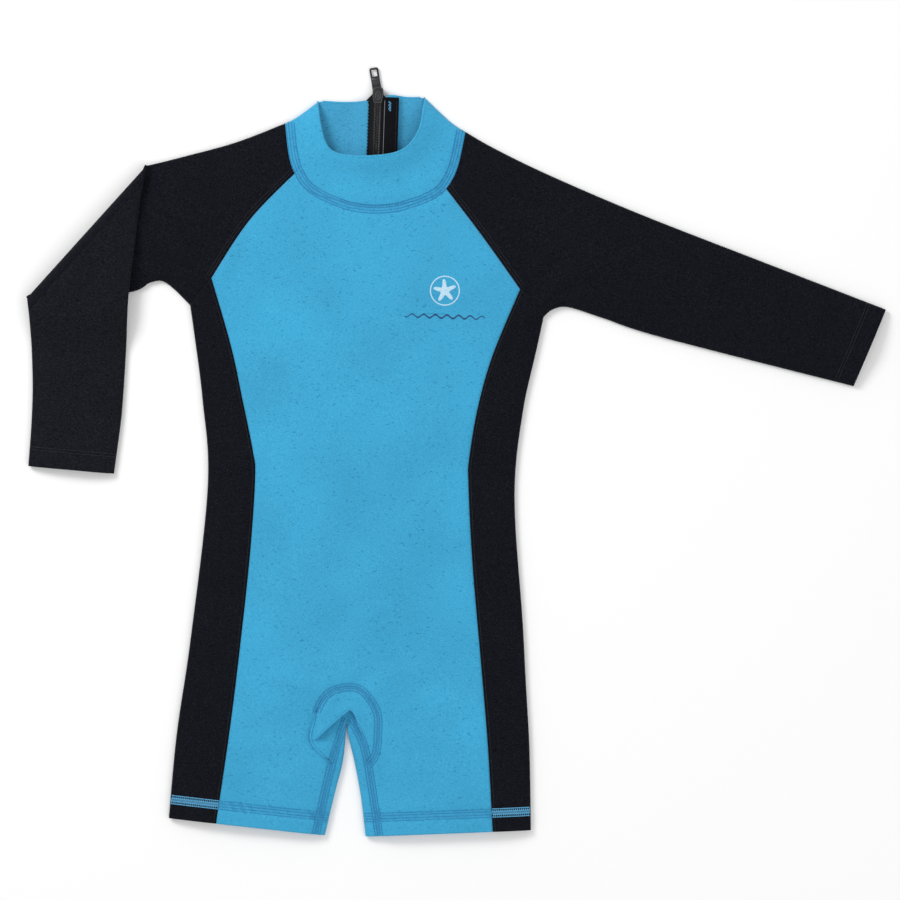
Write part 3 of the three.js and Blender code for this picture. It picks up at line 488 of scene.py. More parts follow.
# Soft folds: line, half-width and height of each
FOLDS = [
    ([(-136, 133), (-152, 158), (-178, 186)], 7.0, 1.1),
    ([(-138, 140), (-168, 158), (-205, 166)], 6.0, 1.0),
    ([(-120, 150), (-108, 172), (-104, 200)], 8.0, 0.8),
    ([(-146, 158), (-140, 186), (-150, 215)], 9.0, 0.7),
    ([(136, 134), (150, 160), (178, 178)], 7.0, 1.1),
    ([(140, 136), (172, 148), (214, 150)], 6.0, 0.9),
    ([(122, 150), (112, 176), (96, 205)], 8.0, 0.7),
    ([(-12, -176), (-42, -158), (-74, -152)], 7.0, 0.8),
    ([(6, -172), (34, -150), (60, -146)], 8.0, 0.7),
    ([(-2, -160), (-6, -130), (2, -96)], 9.0, 0.6),
    ([(24, -205), (52, -198), (84, -206)], 8.0, 0.6),
    ([(-38, -210), (-66, -206), (-96, -214)], 8.0, 0.6),
    ([(-121, 20), (-98, 12), (-70, 16)], 11.0, 0.7),
    ([(-122, -40), (-100, -32), (-78, -36)], 12.0, 0.6),
    ([(120, 30), (98, 20), (72, 26)], 11.0, 0.7),
    ([(121, -30), (96, -38), (66, -34)], 12.0, 0.6),
    ([(-131, -120), (-108, -110), (-90, -122)], 12.0, 0.7),
    ([(132, -130), (112, -118), (92, -128)], 12.0, 0.7),
    ([(-60, 120), (-20, 96), (30, 92)], 22.0, 0.5),
    ([(70, 60), (30, 40), (-30, 44)], 24.0, 0.5),
    ([(-70, -60), (-20, -76), (40, -70)], 24.0, 0.5),
    ([(222, 205), (232, 178), (226, 140)], 10.0, 0.8),
    ([(262, 190), (268, 160), (262, 128)], 8.0, 0.7),
    ([(300, 176), (312, 150), (306, 118)], 10.0, 0.6),
    ([(352, 158), (346, 132), (352, 106)], 9.0, 0.5),
    ([(-60, 262), (-52, 240), (-34, 226)], 7.0, 0.6),
    ([(60, 262), (50, 240), (30, 226)], 7.0, 0.6),
]
FOLD_LINES = [(spline(line, 16), width, 1.5 * height) for line, width, height in FOLDS]
gusset_fold = spline(
    [GUSSET_CORNER, (-16.5, -189), (-5.2, -179), (-2, -177.6), (1.5, -181.5), (5.2, -190.6), (12, -208)], 30
)
rim = scoop_rim()
front_seams = [
    front_neck,
    front_raglan[RIGHT],
    front_raglan[LEFT],
    underarm_seam(RIGHT),
    underarm_seam(LEFT),
    panel_seam(RIGHT),
    panel_seam(LEFT),
    gusset_arch(),
    inseam(RIGHT),
    inseam(LEFT),
]
back_seams = [
    back_neck,
    back_raglan[RIGHT],
    back_raglan[LEFT],
    underarm_seam(RIGHT),
    underarm_seam(LEFT),
    panel_seam(RIGHT),
    panel_seam(LEFT),
    centre_back,
]
PLAIN = front_seams[1:7]
FLAT = [front_seams[0]] + front_seams[7:]
bands = {
    "neck": (front_neck, 4.4),
    "gusset": (gusset_arch(), 2.6),
    "inseam_right": (inseam(RIGHT), 3.0),
    "inseam_left": (inseam(LEFT), 3.0),
    "hem_right": (offset(hem_line(RIGHT), HEM_DEPTH), 3.6),
    "hem_left": (offset(hem_line(LEFT), -HEM_DEPTH), 3.6),
}
back_bands = {
    "neck": (back_neck, 3.4),
    "hem_right": bands["hem_right"],
    "hem_left": bands["hem_left"],
    "centre": (centre_back[:2], 3.0),
}


def smooth(t):
    t = np.clip(t, 0, 1)
    return t * t * (3 - 2 * t)


def rounding(d, radius):
    """0 at a fold's edge, 1 from its radius on, along a quarter circle."""
    t = np.clip(d / radius, 0, 1)
    return np.sqrt(np.maximum(0, 1 - (1 - t) ** 2))


def folds_at(pts, lines):
    z = np.zeros(len(pts))
    for line, width, height in lines:
        box = (pts > line.min(0) - 4 * width).all(1) & (pts < line.max(0) + 4 * width).all(1)
        if not box.any():
            continue
        s, t = along_line(line, pts[box])
        taper = smooth(t * 5) * smooth((1 - t) * 5)
        ridge = np.exp(-((s / width) ** 2))
        hollow = 0.45 * np.exp(-(((s - 1.7 * width) / width) ** 2))
        z[box] += height * taper * (ridge - hollow)
    return z


def seam_dip(pts, seams, depth=0.75, width=1.1):
    z = np.zeros(len(pts))
    for line in seams:
        near = np.exp(-((distance(line, pts) / width) ** 2))
        z = np.maximum(z, near)
    return depth * z


def band_puff(pts, table, height=0.45):
    """The fabric rises on both sides of a stitched band and is pulled flat under it."""
    z = np.zeros(len(pts))
    for line, half in table.values():
        d = distance(line, pts)
        z += height * np.exp(-(((d - half - 3.2) / 2.6) ** 2))
        z -= 0.35 * np.exp(-((d / (half + 0.6)) ** 6))
        # the thread draws the cloth into small puckers across the band
        step = (pts[:, 0] * 0.8 + pts[:, 1] * 0.6) * 2 * math.pi / 6.5
        wave = np.sin(step + 2.2 * middle_noise(pts * 2.0)) * (0.6 + 0.4 * fine_noise(pts))
        z += 0.2 * wave * np.exp(-((d / 8.0) ** 2))
    return z


forearm_edge = joined(
    crease_top - folded_run * FAR,
    crease_foot - folded_run * FAR / 2,
    crease_foot,
    folded_cuff_foot,
    folded_cuff_foot + folded_run * FAR / 3,
    folded_cuff_top + folded_run * FAR / 3,
)
UNDER_FOREARM = 9.0  # the upper sleeve lies no higher than this where the forearm covers it


def front_height(pts):
    d = distance(outline, pts, closed=True)
    inner = FOLD * 2 + (CROWN - FOLD * 2) * (1 - np.exp(-np.maximum(d - FOLD, 0) / 15))
    room = 1 - np.exp(-d / 9)
    z = inner + room * (0.75 * broad(pts) + 0.5 * middle_noise(pts) + 0.12 * fine_noise(pts))
    z += room * folds_at(pts, FOLD_LINES)
    z += room * band_puff(pts, bands)
    # the collar's front stands up a little towards its opening
    to_rim = distance(rim, pts)
    above = inside(joined(front_neck, P(200, 400), P(-200, 400)), pts)
    z += np.where(above, 5.2 * np.exp(-((to_rim / 12) ** 2)) * (1 - np.exp(-d / 7)), 0)
    # the gusset's lower edge hangs over the legs, and its left corner is turned out over the front
    t_side, t = along_line(gusset_fold, pts)
    near = smooth(t * 7) * smooth((1 - t) * 2.4)
    over = smooth((t_side + 0.7) / 0.9)
    raised = 2.9 * over * np.exp(-np.maximum(t_side, 0) / 9)
    sunk = 3.4 * (1 - over) * np.exp(-np.maximum(-t_side, 0) / 9)
    z += near * (raised - sunk)
    corner = smooth((-10 - pts[:, 0]) / 9) * smooth((-168 - pts[:, 1]) / 14)
    to_arch = distance(gusset_arch(), pts)
    turned = 1.7 * smooth(to_arch / 1.4) * corner
    z += np.where(inside(gusset_region(), pts), turned, -0.9 * corner * np.exp(-to_arch / 4))
    z -= np.maximum(seam_dip(pts, PLAIN), seam_dip(pts, FLAT, 0.15, 0.6)) * np.clip(d / 2, 0, 1)
    edge = rounding(d, FOLD)
    z = np.maximum(z, FOLD * 1.6)
    covered = inside(forearm_edge, pts)
    z = np.where(covered, np.minimum(z, UNDER_FOREARM), z)
    return FOLD + (z - FOLD) * edge


def back_height(pts):
    """Outer side of the under layer, which lies on the floor."""
    d = distance(outline, pts, closed=True)
    z = 0.35 + 0.25 * broad(pts) + 0.1 * middle_noise(pts) + seam_dip(pts, back_seams, 0.6)
    for line, half in back_bands.values():
        z += 0.45 * np.exp(-((distance(line, pts) / (half + 0.6)) ** 6))
    z = np.maximum(z, 0.02)
    away = np.abs(pts[:, 0] - ZIP_X)
    z += 2.1 * smooth((22 - away) / 12) * smooth((pts[:, 1] - slot_foot_y + 14) / 10)
    return FOLD + (z - FOLD) * rounding(d, FOLD)


# ---------------------------------------------------------------------------
# Regions of the pattern pieces (each reaches past the garment's edge)
# ---------------------------------------------------------------------------
CORNER = {RIGHT: (P(-240, 360), P(-360, ARMPIT_Y)), LEFT: (P(480, 360), P(480, -FAR))}


def side_region(side):
    return joined(
        panel_seam(side),
        P(side * 240, HEM_Y - FAR / 2),
        P(side * 240, ARMPIT_Y - FAR / 2),
        underarm_seam(side)[1],
    )


def sleeve_region(side, raglan):
    hole = underarm_seam(side)[1]
    up, out = CORNER[side]
    return joined(P(raglan[0][0], NECK_Y + FAR), raglan, hole, P(hole[0], -FAR), out, up)


def collar_region(neck):
    return joined(neck, P(NECK_X + 120, NECK_Y + 120), P(NECK_X - 120, NECK_Y + 120))


def gusset_region():
    arch = gusset_arch()
    right = inseam(RIGHT)
    left = inseam(LEFT)
    right = right[right[:, 1] > arch[0][1]]
    left = left[left[:, 1] > arch[-1][1]]
    return joined(arch, left[::-1], right[1:])


def strip_region(side):
    return joined(inseam(side), P(CROTCH_X, HEM_Y - FAR))


def below_hem(side):
    line = hem_line(side)
    return joined(line, P(line[1][0], HEM_Y - 120), P(line[0][0], HEM_Y - 120))


def past_line(start, end, away):
    run = unit(end - start)
    a, b = start - run * FAR, end + run * FAR
    return joined(a, b, b + away * 120, a + away * 120)


cuts = [
    below_hem(RIGHT),
    below_hem(LEFT),
    past_line(left_cuff_top, left_cuff_foot, left_run),
    past_line(bend_top, bend_foot, -crease_inward),
]
scoop_cut = joined(rim, collar_top(LEFT) + P(0, FAR), collar_top(RIGHT) + P(0, FAR))
mouth_cut = joined(collar_mouth, P(120, 420), P(-120, 420))
slot_cut = joined(
    P(ZIP_X - SLOT_HALF, slot_foot_y),
    P(ZIP_X + SLOT_HALF, slot_foot_y),
    P(ZIP_X + SLOT_HALF, 400),
    P(ZIP_X - SLOT_HALF, 400),
)


# ---------------------------------------------------------------------------
# Flat meshes of a layer: constrained triangles, split by the seams
# ---------------------------------------------------------------------------
def lattice(low, high, spacing):
    rows = np.arange(low[1], high[1], spacing * math.sqrt(3) / 2)
    pts = []
    for i, y in enumerate(rows):
        xs = np.arange(low[0] + (spacing / 2 if i % 2 else 0), high[0], spacing)
        pts.append(np.stack([xs, np.full_like(xs, y)], 1))
    return np.vstack(pts)


def thinned(pts, spacing, taken=None):
    """Drops points nearer than the spacing to ones already kept."""
    cells = {}
    if taken is not None:
        for p in taken:
            cells.setdefault((int(p[0] // spacing), int(p[1] // spacing)), []).append(p)
    kept = []
    for p in pts:
        i, j = int(p[0] // spacing), int(p[1] // spacing)
        close = False
        for a in (i - 1, i, i + 1):
            for b in (j - 1, j, j + 1):
                for q in cells.get((a, b), ()):
                    if (p[0] - q[0]) ** 2 + (p[1] - q[1]) ** 2 < spacing * spacing:
                        close = True
                        break
                if close:
                    break
            if close:
                break
        if not close:
            kept.append(p)
            cells.setdefault((i, j), []).append(p)
    return np.array(kept).reshape(-1, 2)


def closed_loops(loops):
    """The points of closed loops and the edges that join them."""
    pts, edges = [], []
    for loop in loops:
        start = len(pts)
        pts += list(loop)
        edges += [(start + i, start + (i + 1) % len(loop)) for i in range(len(loop))]
    return pts, edges


def triangulated(pts, edges):
    out = delaunay_2d_cdt([Vector(p) for p in pts], edges, [], 0, 1e-5)
    return np.array([(v.x, v.y) for v in out[0]]), np.array([f for f in out[2] if len(f) == 3], int)


def flat_layer(edge, lines, crease_lines=(), spacing=LATTICE):
    """Triangles over the edge's inside, with mesh edges along every line."""
    runs = [resample(joined(edge, edge[0]), 2.4)] + [resample(line, 2.6) for line in lines]
    fixed, edges = [], []
    for run in runs:
        start = len(fixed)
        fixed.extend(run)
        edges.extend((start + i, start + i + 1) for i in range(len(run) - 1))
    fixed = np.array(fixed)
    closed = joined(edge, edge[0])
    extra = [offset(resample(closed, 2.4), s * r) for r in (0.3, 0.9, 1.7) for s in (1, -1)]
    for line in lines:
        extra += [offset(resample(line, 2.6), s) for s in (1.1, -1.1, 2.5, -2.5)]
    for line in crease_lines:
        extra += [offset(resample(line, 1.6), s) for s in (-1.6, -0.8, 0, 0.8, 1.6)]
    extra = np.vstack(extra)
    extra = extra[inside(edge, extra)]
    extra = thinned(extra, 0.55, fixed)
    grid = lattice(edge.min(0), edge.max(0), spacing)
    grid = grid[inside(edge, grid)]
    grid = thinned(grid, spacing * 0.55, np.vstack([fixed, extra]))
    verts, tris = triangulated(np.vstack([fixed, extra, grid]), edges)
    a, b, c = verts[tris[:, 0]], verts[tris[:, 1]], verts[tris[:, 2]]
    area = (b[:, 0] - a[:, 0]) * (c[:, 1] - a[:, 1]) - (b[:, 1] - a[:, 1]) * (c[:, 0] - a[:, 0])
    tris[area < 0] = tris[area < 0][:, ::-1]
    tris = tris[np.abs(area) > 1e-6]
    centre = verts[tris].mean(1)
    keep = inside(edge, centre)
    return verts, tris[keep], centre[keep]


def assign(centre, regions, last):
    """Name of the first region that holds each triangle."""
    tag = np.full(len(centre), last, dtype=object)
    free = np.ones(len(centre), bool)
    for name, polygon in regions:
        hit = free & inside(polygon, centre)
        tag[hit] = name
        free &= ~hit
    return tag


gusset_centre = joined(P(CROTCH_X, INSEAM_TOP_Y), P(-5.3, -187))
cut_lines = [
    hem_line(RIGHT),
    hem_line(LEFT),
    joined(left_cuff_top - left_across * 9, left_cuff_foot + left_across * 9),
    joined(bend_top - crease_run * 16, bend_foot + crease_run * 16),
]
f_verts, f_tris, f_centre = flat_layer(outline, front_seams + [gusset_centre, rim] + cut_lines, [gusset_fold])
f_tag = assign(
    f_centre,
    [("cut", c) for c in cuts + [scoop_cut]]
    + [
        ("collar", collar_region(front_neck)),
        ("gusset", gusset_region()),
        ("back_right", strip_region(RIGHT)),
        ("back_left", strip_region(LEFT)),
        ("side_right", side_region(RIGHT)),
        ("side_left", side_region(LEFT)),
        ("sleeve_right", sleeve_region(RIGHT, front_raglan[RIGHT])),
        ("sleeve_left", sleeve_region(LEFT, front_raglan[LEFT])),
    ],
    "front",
)
slot_sides = [
    joined(P(ZIP_X - SLOT_HALF, slot_foot_y), P(ZIP_X - SLOT_HALF, 300)),
    joined(P(ZIP_X + SLOT_HALF, slot_foot_y), P(ZIP_X + SLOT_HALF, 300)),
    joined(P(ZIP_X - SLOT_HALF, slot_foot_y), P(ZIP_X + SLOT_HALF, slot_foot_y)),
]
b_verts, b_tris, b_centre = flat_layer(outline, back_seams + slot_sides + [collar_mouth] + cut_lines)
left_half = joined(P(ZIP_X, 400), centre_back, P(400, HEM_Y - FAR), P(400, 400))
b_tag = assign(
    b_centre,
    [("cut", c) for c in cuts + [mouth_cut, slot_cut]]
    + [
        ("collar", collar_region(back_neck)),
        ("side_right", side_region(RIGHT)),
        ("side_left", side_region(LEFT)),
        ("sleeve_right", sleeve_region(RIGHT, back_raglan[RIGHT])),
        ("sleeve_left", sleeve_region(LEFT, back_raglan[LEFT])),
        ("back_left", left_half),
    ],
    "back_right",
)
f_z = front_height(f_verts)
b_z = back_height(b_verts)

# The garment's frame sits in the row's frame by a plain shift
SHIFT_X = (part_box("zip_coil_left")[0].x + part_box("zip_coil_right")[1].x) * 500 - ZIP_X
SHIFT_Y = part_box("zip_slider")[0].y * 1000 - zip_top_y


def to_row(points):
    return (np.array(points, float) + (SHIFT_X, SHIFT_Y, 0)) / 1000


# ---------------------------------------------------------------------------
# Materials: all procedural
# ---------------------------------------------------------------------------
def srgb(r, g, b):
    def one(v):
        v /= 255
        return v / 12.92 if v <= 0.04045 else ((v + 0.055) / 1.055) ** 2.4

    return (one(r), one(g), one(b), 1)


def new_material(name, roughness=0.85, specular=0.2, sheen=0.0, metallic=0.0):
    m = bpy.data.materials.new(name)
    m.use_nodes = True
    n = m.node_tree.nodes
    bsdf = n["Principled BSDF"]
    bsdf.inputs["Roughness"].default_value = roughness
    bsdf.inputs["Specular IOR Level"].default_value = specular
    bsdf.inputs["Sheen Weight"].default_value = sheen
    bsdf.inputs["Sheen Roughness"].default_value = 0.4
    bsdf.inputs["Metallic"].default_value = metallic
    return m, m.node_tree, bsdf


def texture(nt, kind, coords, scale, **values):
    t = nt.nodes.new(kind)
    t.inputs["Scale"].default_value = scale
    for key, value in values.items():
        t.inputs[key.replace("_", " ")].default_value = value
    nt.links.new(coords, t.inputs["Vector"])
    return t


def ramp(nt, source, stops):
    r = nt.nodes.new("ShaderNodeValToRGB")
    r.color_ramp.elements[0].position, r.color_ramp.elements[0].color = stops[0]
    r.color_ramp.elements[1].position, r.color_ramp.elements[1].color = stops[-1]
    for position, colour in stops[1:-1]:
        e = r.color_ramp.elements.new(position)
        e.color = colour
    nt.links.new(source, r.inputs["Fac"])
    return r


def mapped(nt, scale, turn=0.0):
    c = nt.nodes.new("ShaderNodeTexCoord")
    m = nt.nodes.new("ShaderNodeMapping")
    m.inputs["Scale"].default_value = scale
    m.inputs["Rotation"].default_value = (0, 0, turn)
    nt.links.new(c.outputs["Object"], m.inputs["Vector"])
    return m.outputs["Vector"]


def mixed(nt, fac, a, b, mode="MIX"):
    m = nt.nodes.new("ShaderNodeMix")
    m.data_type = "RGBA"
    m.blend_type = mode
    if isinstance(fac, (int, float)):
        m.inputs[0].default_value = fac
    else:
        nt.links.new(fac, m.inputs[0])
    for i, v in ((6, a), (7, b)):
        if isinstance(v, tuple):
            m.inputs[i].default_value = v
        else:
            nt.links.new(v, m.inputs[i])
    return m.outputs[2]


def combined(nt, operation, a, b):
    m = nt.nodes.new("ShaderNodeMath")
    m.operation = operation
    nt.links.new(a, m.inputs[0])
    nt.links.new(b, m.inputs[1])
    return m.outputs[0]


def bumped(nt, bsdf, height, strength, distance_m):
    b = nt.nodes.new("ShaderNodeBump")
    b.inputs["Strength"].default_value = strength
    b.inputs["Distance"].default_value = distance_m
    nt.links.new(height, b.inputs["Height"])
    nt.links.new(b.outputs["Normal"], bsdf.inputs["Normal"])


def knit(name, base, dark, light, fleck_share, turn=0.0, sheen=0.2, bump=0.35):
    """Fine stretch knit: ribs, rows, heathered flecks and slow variation of tone."""
    m, nt, bsdf = new_material(name, 0.82, 0.16 if sheen > 0.1 else 0.07, sheen)
    mm = mapped(nt, (1000, 1000, 1000), turn)
    long_way, short_way = mapped(nt, (300, 1050, 700), turn + 0.35), mapped(nt, (380, 700, 500), turn - 0.5)
    flecks = texture(nt, "ShaderNodeTexNoise", long_way, 1.0, Detail=3.0, Roughness=0.6)
    grain = texture(nt, "ShaderNodeTexNoise", mm, 0.9, Detail=5.0, Roughness=0.75)
    slow = texture(nt, "ShaderNodeTexNoise", mm, 0.018, Detail=2.0)
    spots = texture(nt, "ShaderNodeTexNoise", short_way, 1.0, Detail=2.0)
    tone = ramp(nt, grain.outputs["Fac"], [(0.3, dark), (0.5, base), (0.72, light)])
    fleck = ramp(nt, flecks.outputs["Fac"], [(fleck_share, (0, 0, 0, 1)), (fleck_share + 0.09, (1, 1, 1, 1))])
    spot = ramp(nt, spots.outputs["Fac"], [(0.62, (0, 0, 0, 1)), (0.72, (1, 1, 1, 1))])
    deep = tuple(v * 0.8 for v in dark[:3]) + (1,)
    body = mixed(nt, fleck.outputs["Color"], tone.outputs["Color"], dark)
    body = mixed(nt, spot.outputs["Color"], body, deep)
    drift = ramp(nt, slow.outputs["Fac"], [(0.3, (0.93, 0.93, 0.93, 1)), (0.7, (1.05, 1.05, 1.05, 1))])
    colour = mixed(nt, 1.0, body, drift.outputs["Color"], "MULTIPLY")
    nt.links.new(colour, bsdf.inputs["Base Color"])
    ribs = texture(nt, "ShaderNodeTexWave", mm, 0.55, Distortion=0.6, Detail=1.0)
    rows = nt.nodes.new("ShaderNodeTexWave")
    rows.bands_direction = "Y"
    rows.inputs["Scale"].default_value = 0.42
    rows.inputs["Distortion"].default_value = 0.8
    nt.links.new(mm, rows.inputs["Vector"])
    relief = combined(nt, "ADD", ribs.outputs["Fac"], rows.outputs["Fac"])
    more = nt.nodes.new("ShaderNodeMath")
    more.operation = "MULTIPLY_ADD"
    nt.links.new(grain.outputs["Fac"], more.inputs[0])
    more.inputs[1].default_value = 1.6
    nt.links.new(relief, more.inputs[2])
    bumped(nt, bsdf, more.outputs[0], bump, 0.00022)
    rough = ramp(nt, grain.outputs["Fac"], [(0.3, (0.74,) * 3 + (1,)), (0.7, (0.9,) * 3 + (1,))])
    nt.links.new(rough.outputs["Color"], bsdf.inputs["Roughness"])
    return m


def thread(name, base, dark):
    """Spun thread: twisted plies along each stitch, with lighter patches at random."""
    m, nt, bsdf = new_material(name, 0.6, 0.3, 0.2)
    mm = mapped(nt, (1000, 1000, 1000), 0.7)
    twist = texture(nt, "ShaderNodeTexWave", mm, 1.6, Distortion=2.0, Detail=2.0)
    grain = texture(nt, "ShaderNodeTexNoise", mm, 0.5, Detail=3.0)
    tone = ramp(nt, twist.outputs["Fac"], [(0.1, dark), (0.8, base)])
    colour = mixed(nt, grain.outputs["Fac"], tone.outputs["Color"], base)
    nt.links.new(colour, bsdf.inputs["Base Color"])
    bumped(nt, bsdf, twist.outputs["Fac"], 0.5, 0.0001)
    return m


def woven(name, base, dark):
    """Zip tape: a tight herringbone weave."""
    m, nt, bsdf = new_material(name, 0.8, 0.2, 0.1)
    a = texture(nt, "ShaderNodeTexWave", mapped(nt, (1000, 1000, 1000), 0.785), 1.1, Distortion=0.3)
    c = texture(nt, "ShaderNodeTexWave", mapped(nt, (1000, 1000, 1000), -0.785), 1.1, Distortion=0.3)
    both = combined(nt, "MAXIMUM", a.outputs["Fac"], c.outputs["Fac"])
    tone = ramp(nt, both, [(0.3, dark), (0.9, base)])
    nt.links.new(tone.outputs["Color"], bsdf.inputs["Base Color"])
    bumped(nt, bsdf, both, 0.5, 0.0002)
    return m


def enamel(name, base, wear_and_highlight_colour, roughness):
    """Painted zip metal, lighter on its edges: partly rubbed wear, partly a painted highlight."""
    m, nt, bsdf = new_material(name, roughness, 0.35, 0.0, 0.1)
    geometry = nt.nodes.new("ShaderNodeNewGeometry")
    mm = mapped(nt, (1000, 1000, 1000))
    grain = texture(nt, "ShaderNodeTexNoise", mm, 1.4, Detail=4.0)
    # the lighter edge colour, found by pointiness, is partly rubbed wear and partly a painted highlight
    edge = ramp(nt, geometry.outputs["Pointiness"], [(0.5, (0, 0, 0, 1)), (0.62, (1, 1, 1, 1))])
    wear_and_highlight = mixed(nt, grain.outputs["Fac"], (0, 0, 0, 1), edge.outputs["Color"])
    nt.links.new(mixed(nt, wear_and_highlight, base, wear_and_highlight_colour), bsdf.inputs["Base Color"])
    bumped(nt, bsdf, grain.outputs["Fac"], 0.15, 0.0001)
    return m


blue = knit("blue_knit", srgb(58, 159, 201), srgb(49, 148, 193), srgb(77, 176, 216), 0.62)
lining_blue = knit("lining_knit", srgb(64, 155, 196), srgb(52, 138, 180), srgb(76, 168, 206), 0.62)
black = knit("black_knit", srgb(14, 16, 23), srgb(4, 4, 8), srgb(36, 38, 48), 0.6, 0.0, 0.03, 0.5)
black_back = knit("black_knit_outer", srgb(20, 21, 27), srgb(7, 7, 11), srgb(44, 45, 52), 0.6, 0.2, 0.04, 0.5)
guard_knit = knit("guard_knit", srgb(15, 15, 20), srgb(8, 8, 12), srgb(27, 27, 33), 0.6, 0.1, 0.03, 0.5)
blue_thread = thread("blue_thread", srgb(40, 136, 190), srgb(24, 104, 158))
cover_thread = thread("cover_thread", srgb(66, 166, 210), srgb(52, 148, 195))
sky_thread = thread("sky_thread", srgb(98, 176, 216), srgb(56, 136, 186))
black_thread = thread("black_thread", srgb(17, 18, 24), srgb(9, 10, 14))
# light grey used only on the guard's free edge, as a painted highlight
guard_edge_highlight_colour = thread("guard_edge_highlight_colour", srgb(150, 154, 160), srgb(96, 100, 108))
tape = woven("zip_tape", srgb(20, 20, 25), srgb(8, 8, 11))
coil_plastic = enamel("zip_coil", srgb(13, 13, 16), srgb(40, 40, 46), 0.42)
metal = enamel("zip_enamel", srgb(16, 16, 19), srgb(78, 80, 84), 0.4)
# lighter enamel for the slider's raised rings: a painted highlight, with its edges lighter still
relief_highlight_metal = enamel("zip_relief_highlight_enamel", srgb(72, 74, 78), srgb(150, 152, 156), 0.3)


# ---------------------------------------------------------------------------
# Building pieces
# ---------------------------------------------------------------------------
def make_object(name, verts, faces, material):
    mesh = bpy.data.meshes.new(name)
    mesh.from_pydata([tuple(v) for v in verts], [], [tuple(int(i) for i in f) for f in faces])
    mesh.validate()
    mesh.update()
    mesh.polygons.foreach_set("use_smooth", [True] * len(mesh.polygons))
    obj = bpy.data.objects.new(name, mesh)
    bpy.context.scene.collection.objects.link(obj)
    mesh.materials.append(material)
    return obj


def weld(verts, tris):
    """Merges points that coincide and drops the triangles that this flattens."""
    key = np.round(np.array(verts) * 50).astype(np.int64)
    _, first, back = np.unique(key, axis=0, return_index=True, return_inverse=True)
    back = back.reshape(-1)
    tris = back[np.array(tris)]
    good = (tris[:, 0] != tris[:, 1]) & (tris[:, 1] != tris[:, 2]) & (tris[:, 0] != tris[:, 2])
    return np.array(verts)[first], tris[good]


def normals_of(verts, tris):
    a, b, c = verts[tris[:, 0]], verts[tris[:, 1]], verts[tris[:, 2]]
    n = np.cross(b - a, c - a)
    out = np.zeros_like(verts)
    for k in range(3):
        np.add.at(out, tris[:, k], n)
    return out / (np.linalg.norm(out, axis=1)[:, None] + 1e-12)


def thickened(verts, tris, thickness):
    """A closed shell with the given surface as its outer side."""
    n = normals_of(verts, tris)
    count = len(verts)
    edges = np.vstack([tris[:, [0, 1]], tris[:, [1, 2]], tris[:, [2, 0]]])
    known = set(map(tuple, edges.tolist()))
    open_edges = [(a, b) for a, b in known if (b, a) not in known]
    middle = {}
    extra = []
    for a, b in open_edges:
        for v in (a, b):
            if v not in middle:
                middle[v] = 2 * count + len(extra)
                extra.append(v)
    # the raw edge is rounded: its middle stands a little proud
    push = np.zeros((len(extra), 3))
    index = {v: i for i, v in enumerate(extra)}
    for a, b in open_edges:
        out = np.cross(verts[b] - verts[a], n[a] + n[b])
        out /= np.linalg.norm(out) + 1e-12
        push[index[a]] += out
        push[index[b]] += out
    push /= np.linalg.norm(push, axis=1)[:, None] + 1e-12
    mid = verts[extra] - n[extra] * thickness / 2 + push * thickness * 0.22 if extra else np.zeros((0, 3))
    inner = verts - n * thickness
    points = np.vstack([verts, inner, mid])
    faces = [tuple(t) for t in tris] + [tuple(t[::-1] + count) for t in tris]
    for a, b in open_edges:
        faces.append((b, a, middle[a], middle[b]))
        faces.append((middle[b], middle[a], a + count, b + count))
    return points, faces


def cloth(name, parts, material, body, nodes, thickness=CLOTH):
    """One pattern piece from its layers' surfaces, each (verts in mm, outward triangles)."""
    used = []
    for verts, tris in parts:
        index = np.unique(tris)
        remap = np.full(len(verts), -1)
        remap[index] = np.arange(len(index))
        used.append((verts[index], remap[tris]))
    verts, tris, base = [], [], 0
    for v, t in used:
        verts.append(v)
        tris.append(t + base)
        base += len(v)
    verts, tris = weld(np.vstack(verts), np.vstack(tris))
    points, faces = thickened(verts, tris, thickness)
    obj = make_object(name, to_row(points), faces, material)
    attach(obj, body)
    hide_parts(*nodes)


f_surface = np.c_[f_verts, f_z]
b_surface = np.c_[b_verts, b_z]


def layers(front_tag, back_tag):
    parts = []
    if front_tag:
        parts.append((f_surface, f_tris[f_tag == front_tag]))
    if back_tag:
        parts.append((b_surface, b_tris[b_tag == back_tag][:, ::-1]))
    return parts


cloth("front_body", layers("front", None), blue, "suit", ["front_panel"])
cloth("gusset_panel", layers("gusset", None), blue, "suit", ["crotch_gusset"])
for _, word in SIDES:
    back, side = f"back_{word}", f"side_{word}"
    cloth(f"back_body_{word}", layers(back, back), blue, "suit", [f"back_panel_{word}"])
    cloth(side, layers(side, side), black, "suit", [f"side_panel_{word}"])
for name, tag, node in (
    ("sleeve_left", "sleeve_left", "left_sleeve"),
    ("sleeve_right_top", "sleeve_right", "right_sleeve_upper"),
):
    cloth(name, layers(tag, tag), black, "suit", [node])

# ---------------------------------------------------------------------------
# The folded forearm: a flat tube over the sleeve, drooping to the floor below it
# ---------------------------------------------------------------------------
droop_y = crease_foot[1] - 3
inner_edge = spline(
    [
        crease_top - folded_run * FAR,
        crease_top - folded_run * 12 + folded_across * -1.5,
        (-177.8, 211.0),
        (-181.0, 174.0),
        (-184.2, 139.8),
        (-185.4, 92.3),
        (-186.9, 47.8),
        (-189.6, 18.0),
        folded_cuff_top + (1.2, 0),
        folded_cuff_top + folded_run * 30,
    ],
    90,
)
outer_edge = spline(
    [
        crease_foot - folded_run * FAR / 2 + (-12, 0),
        crease_foot + (-0.3, 0),
        (-259.6, 104.7),
        (-257.0, 67.7),
        (-256.8, 38.0),
        folded_cuff_foot + (-1.0, 0),
        folded_cuff_foot + folded_run * 30 + (-1, 0),
    ],
    70,
)
fore_outline = joined(outer_edge, inner_edge[::-1])
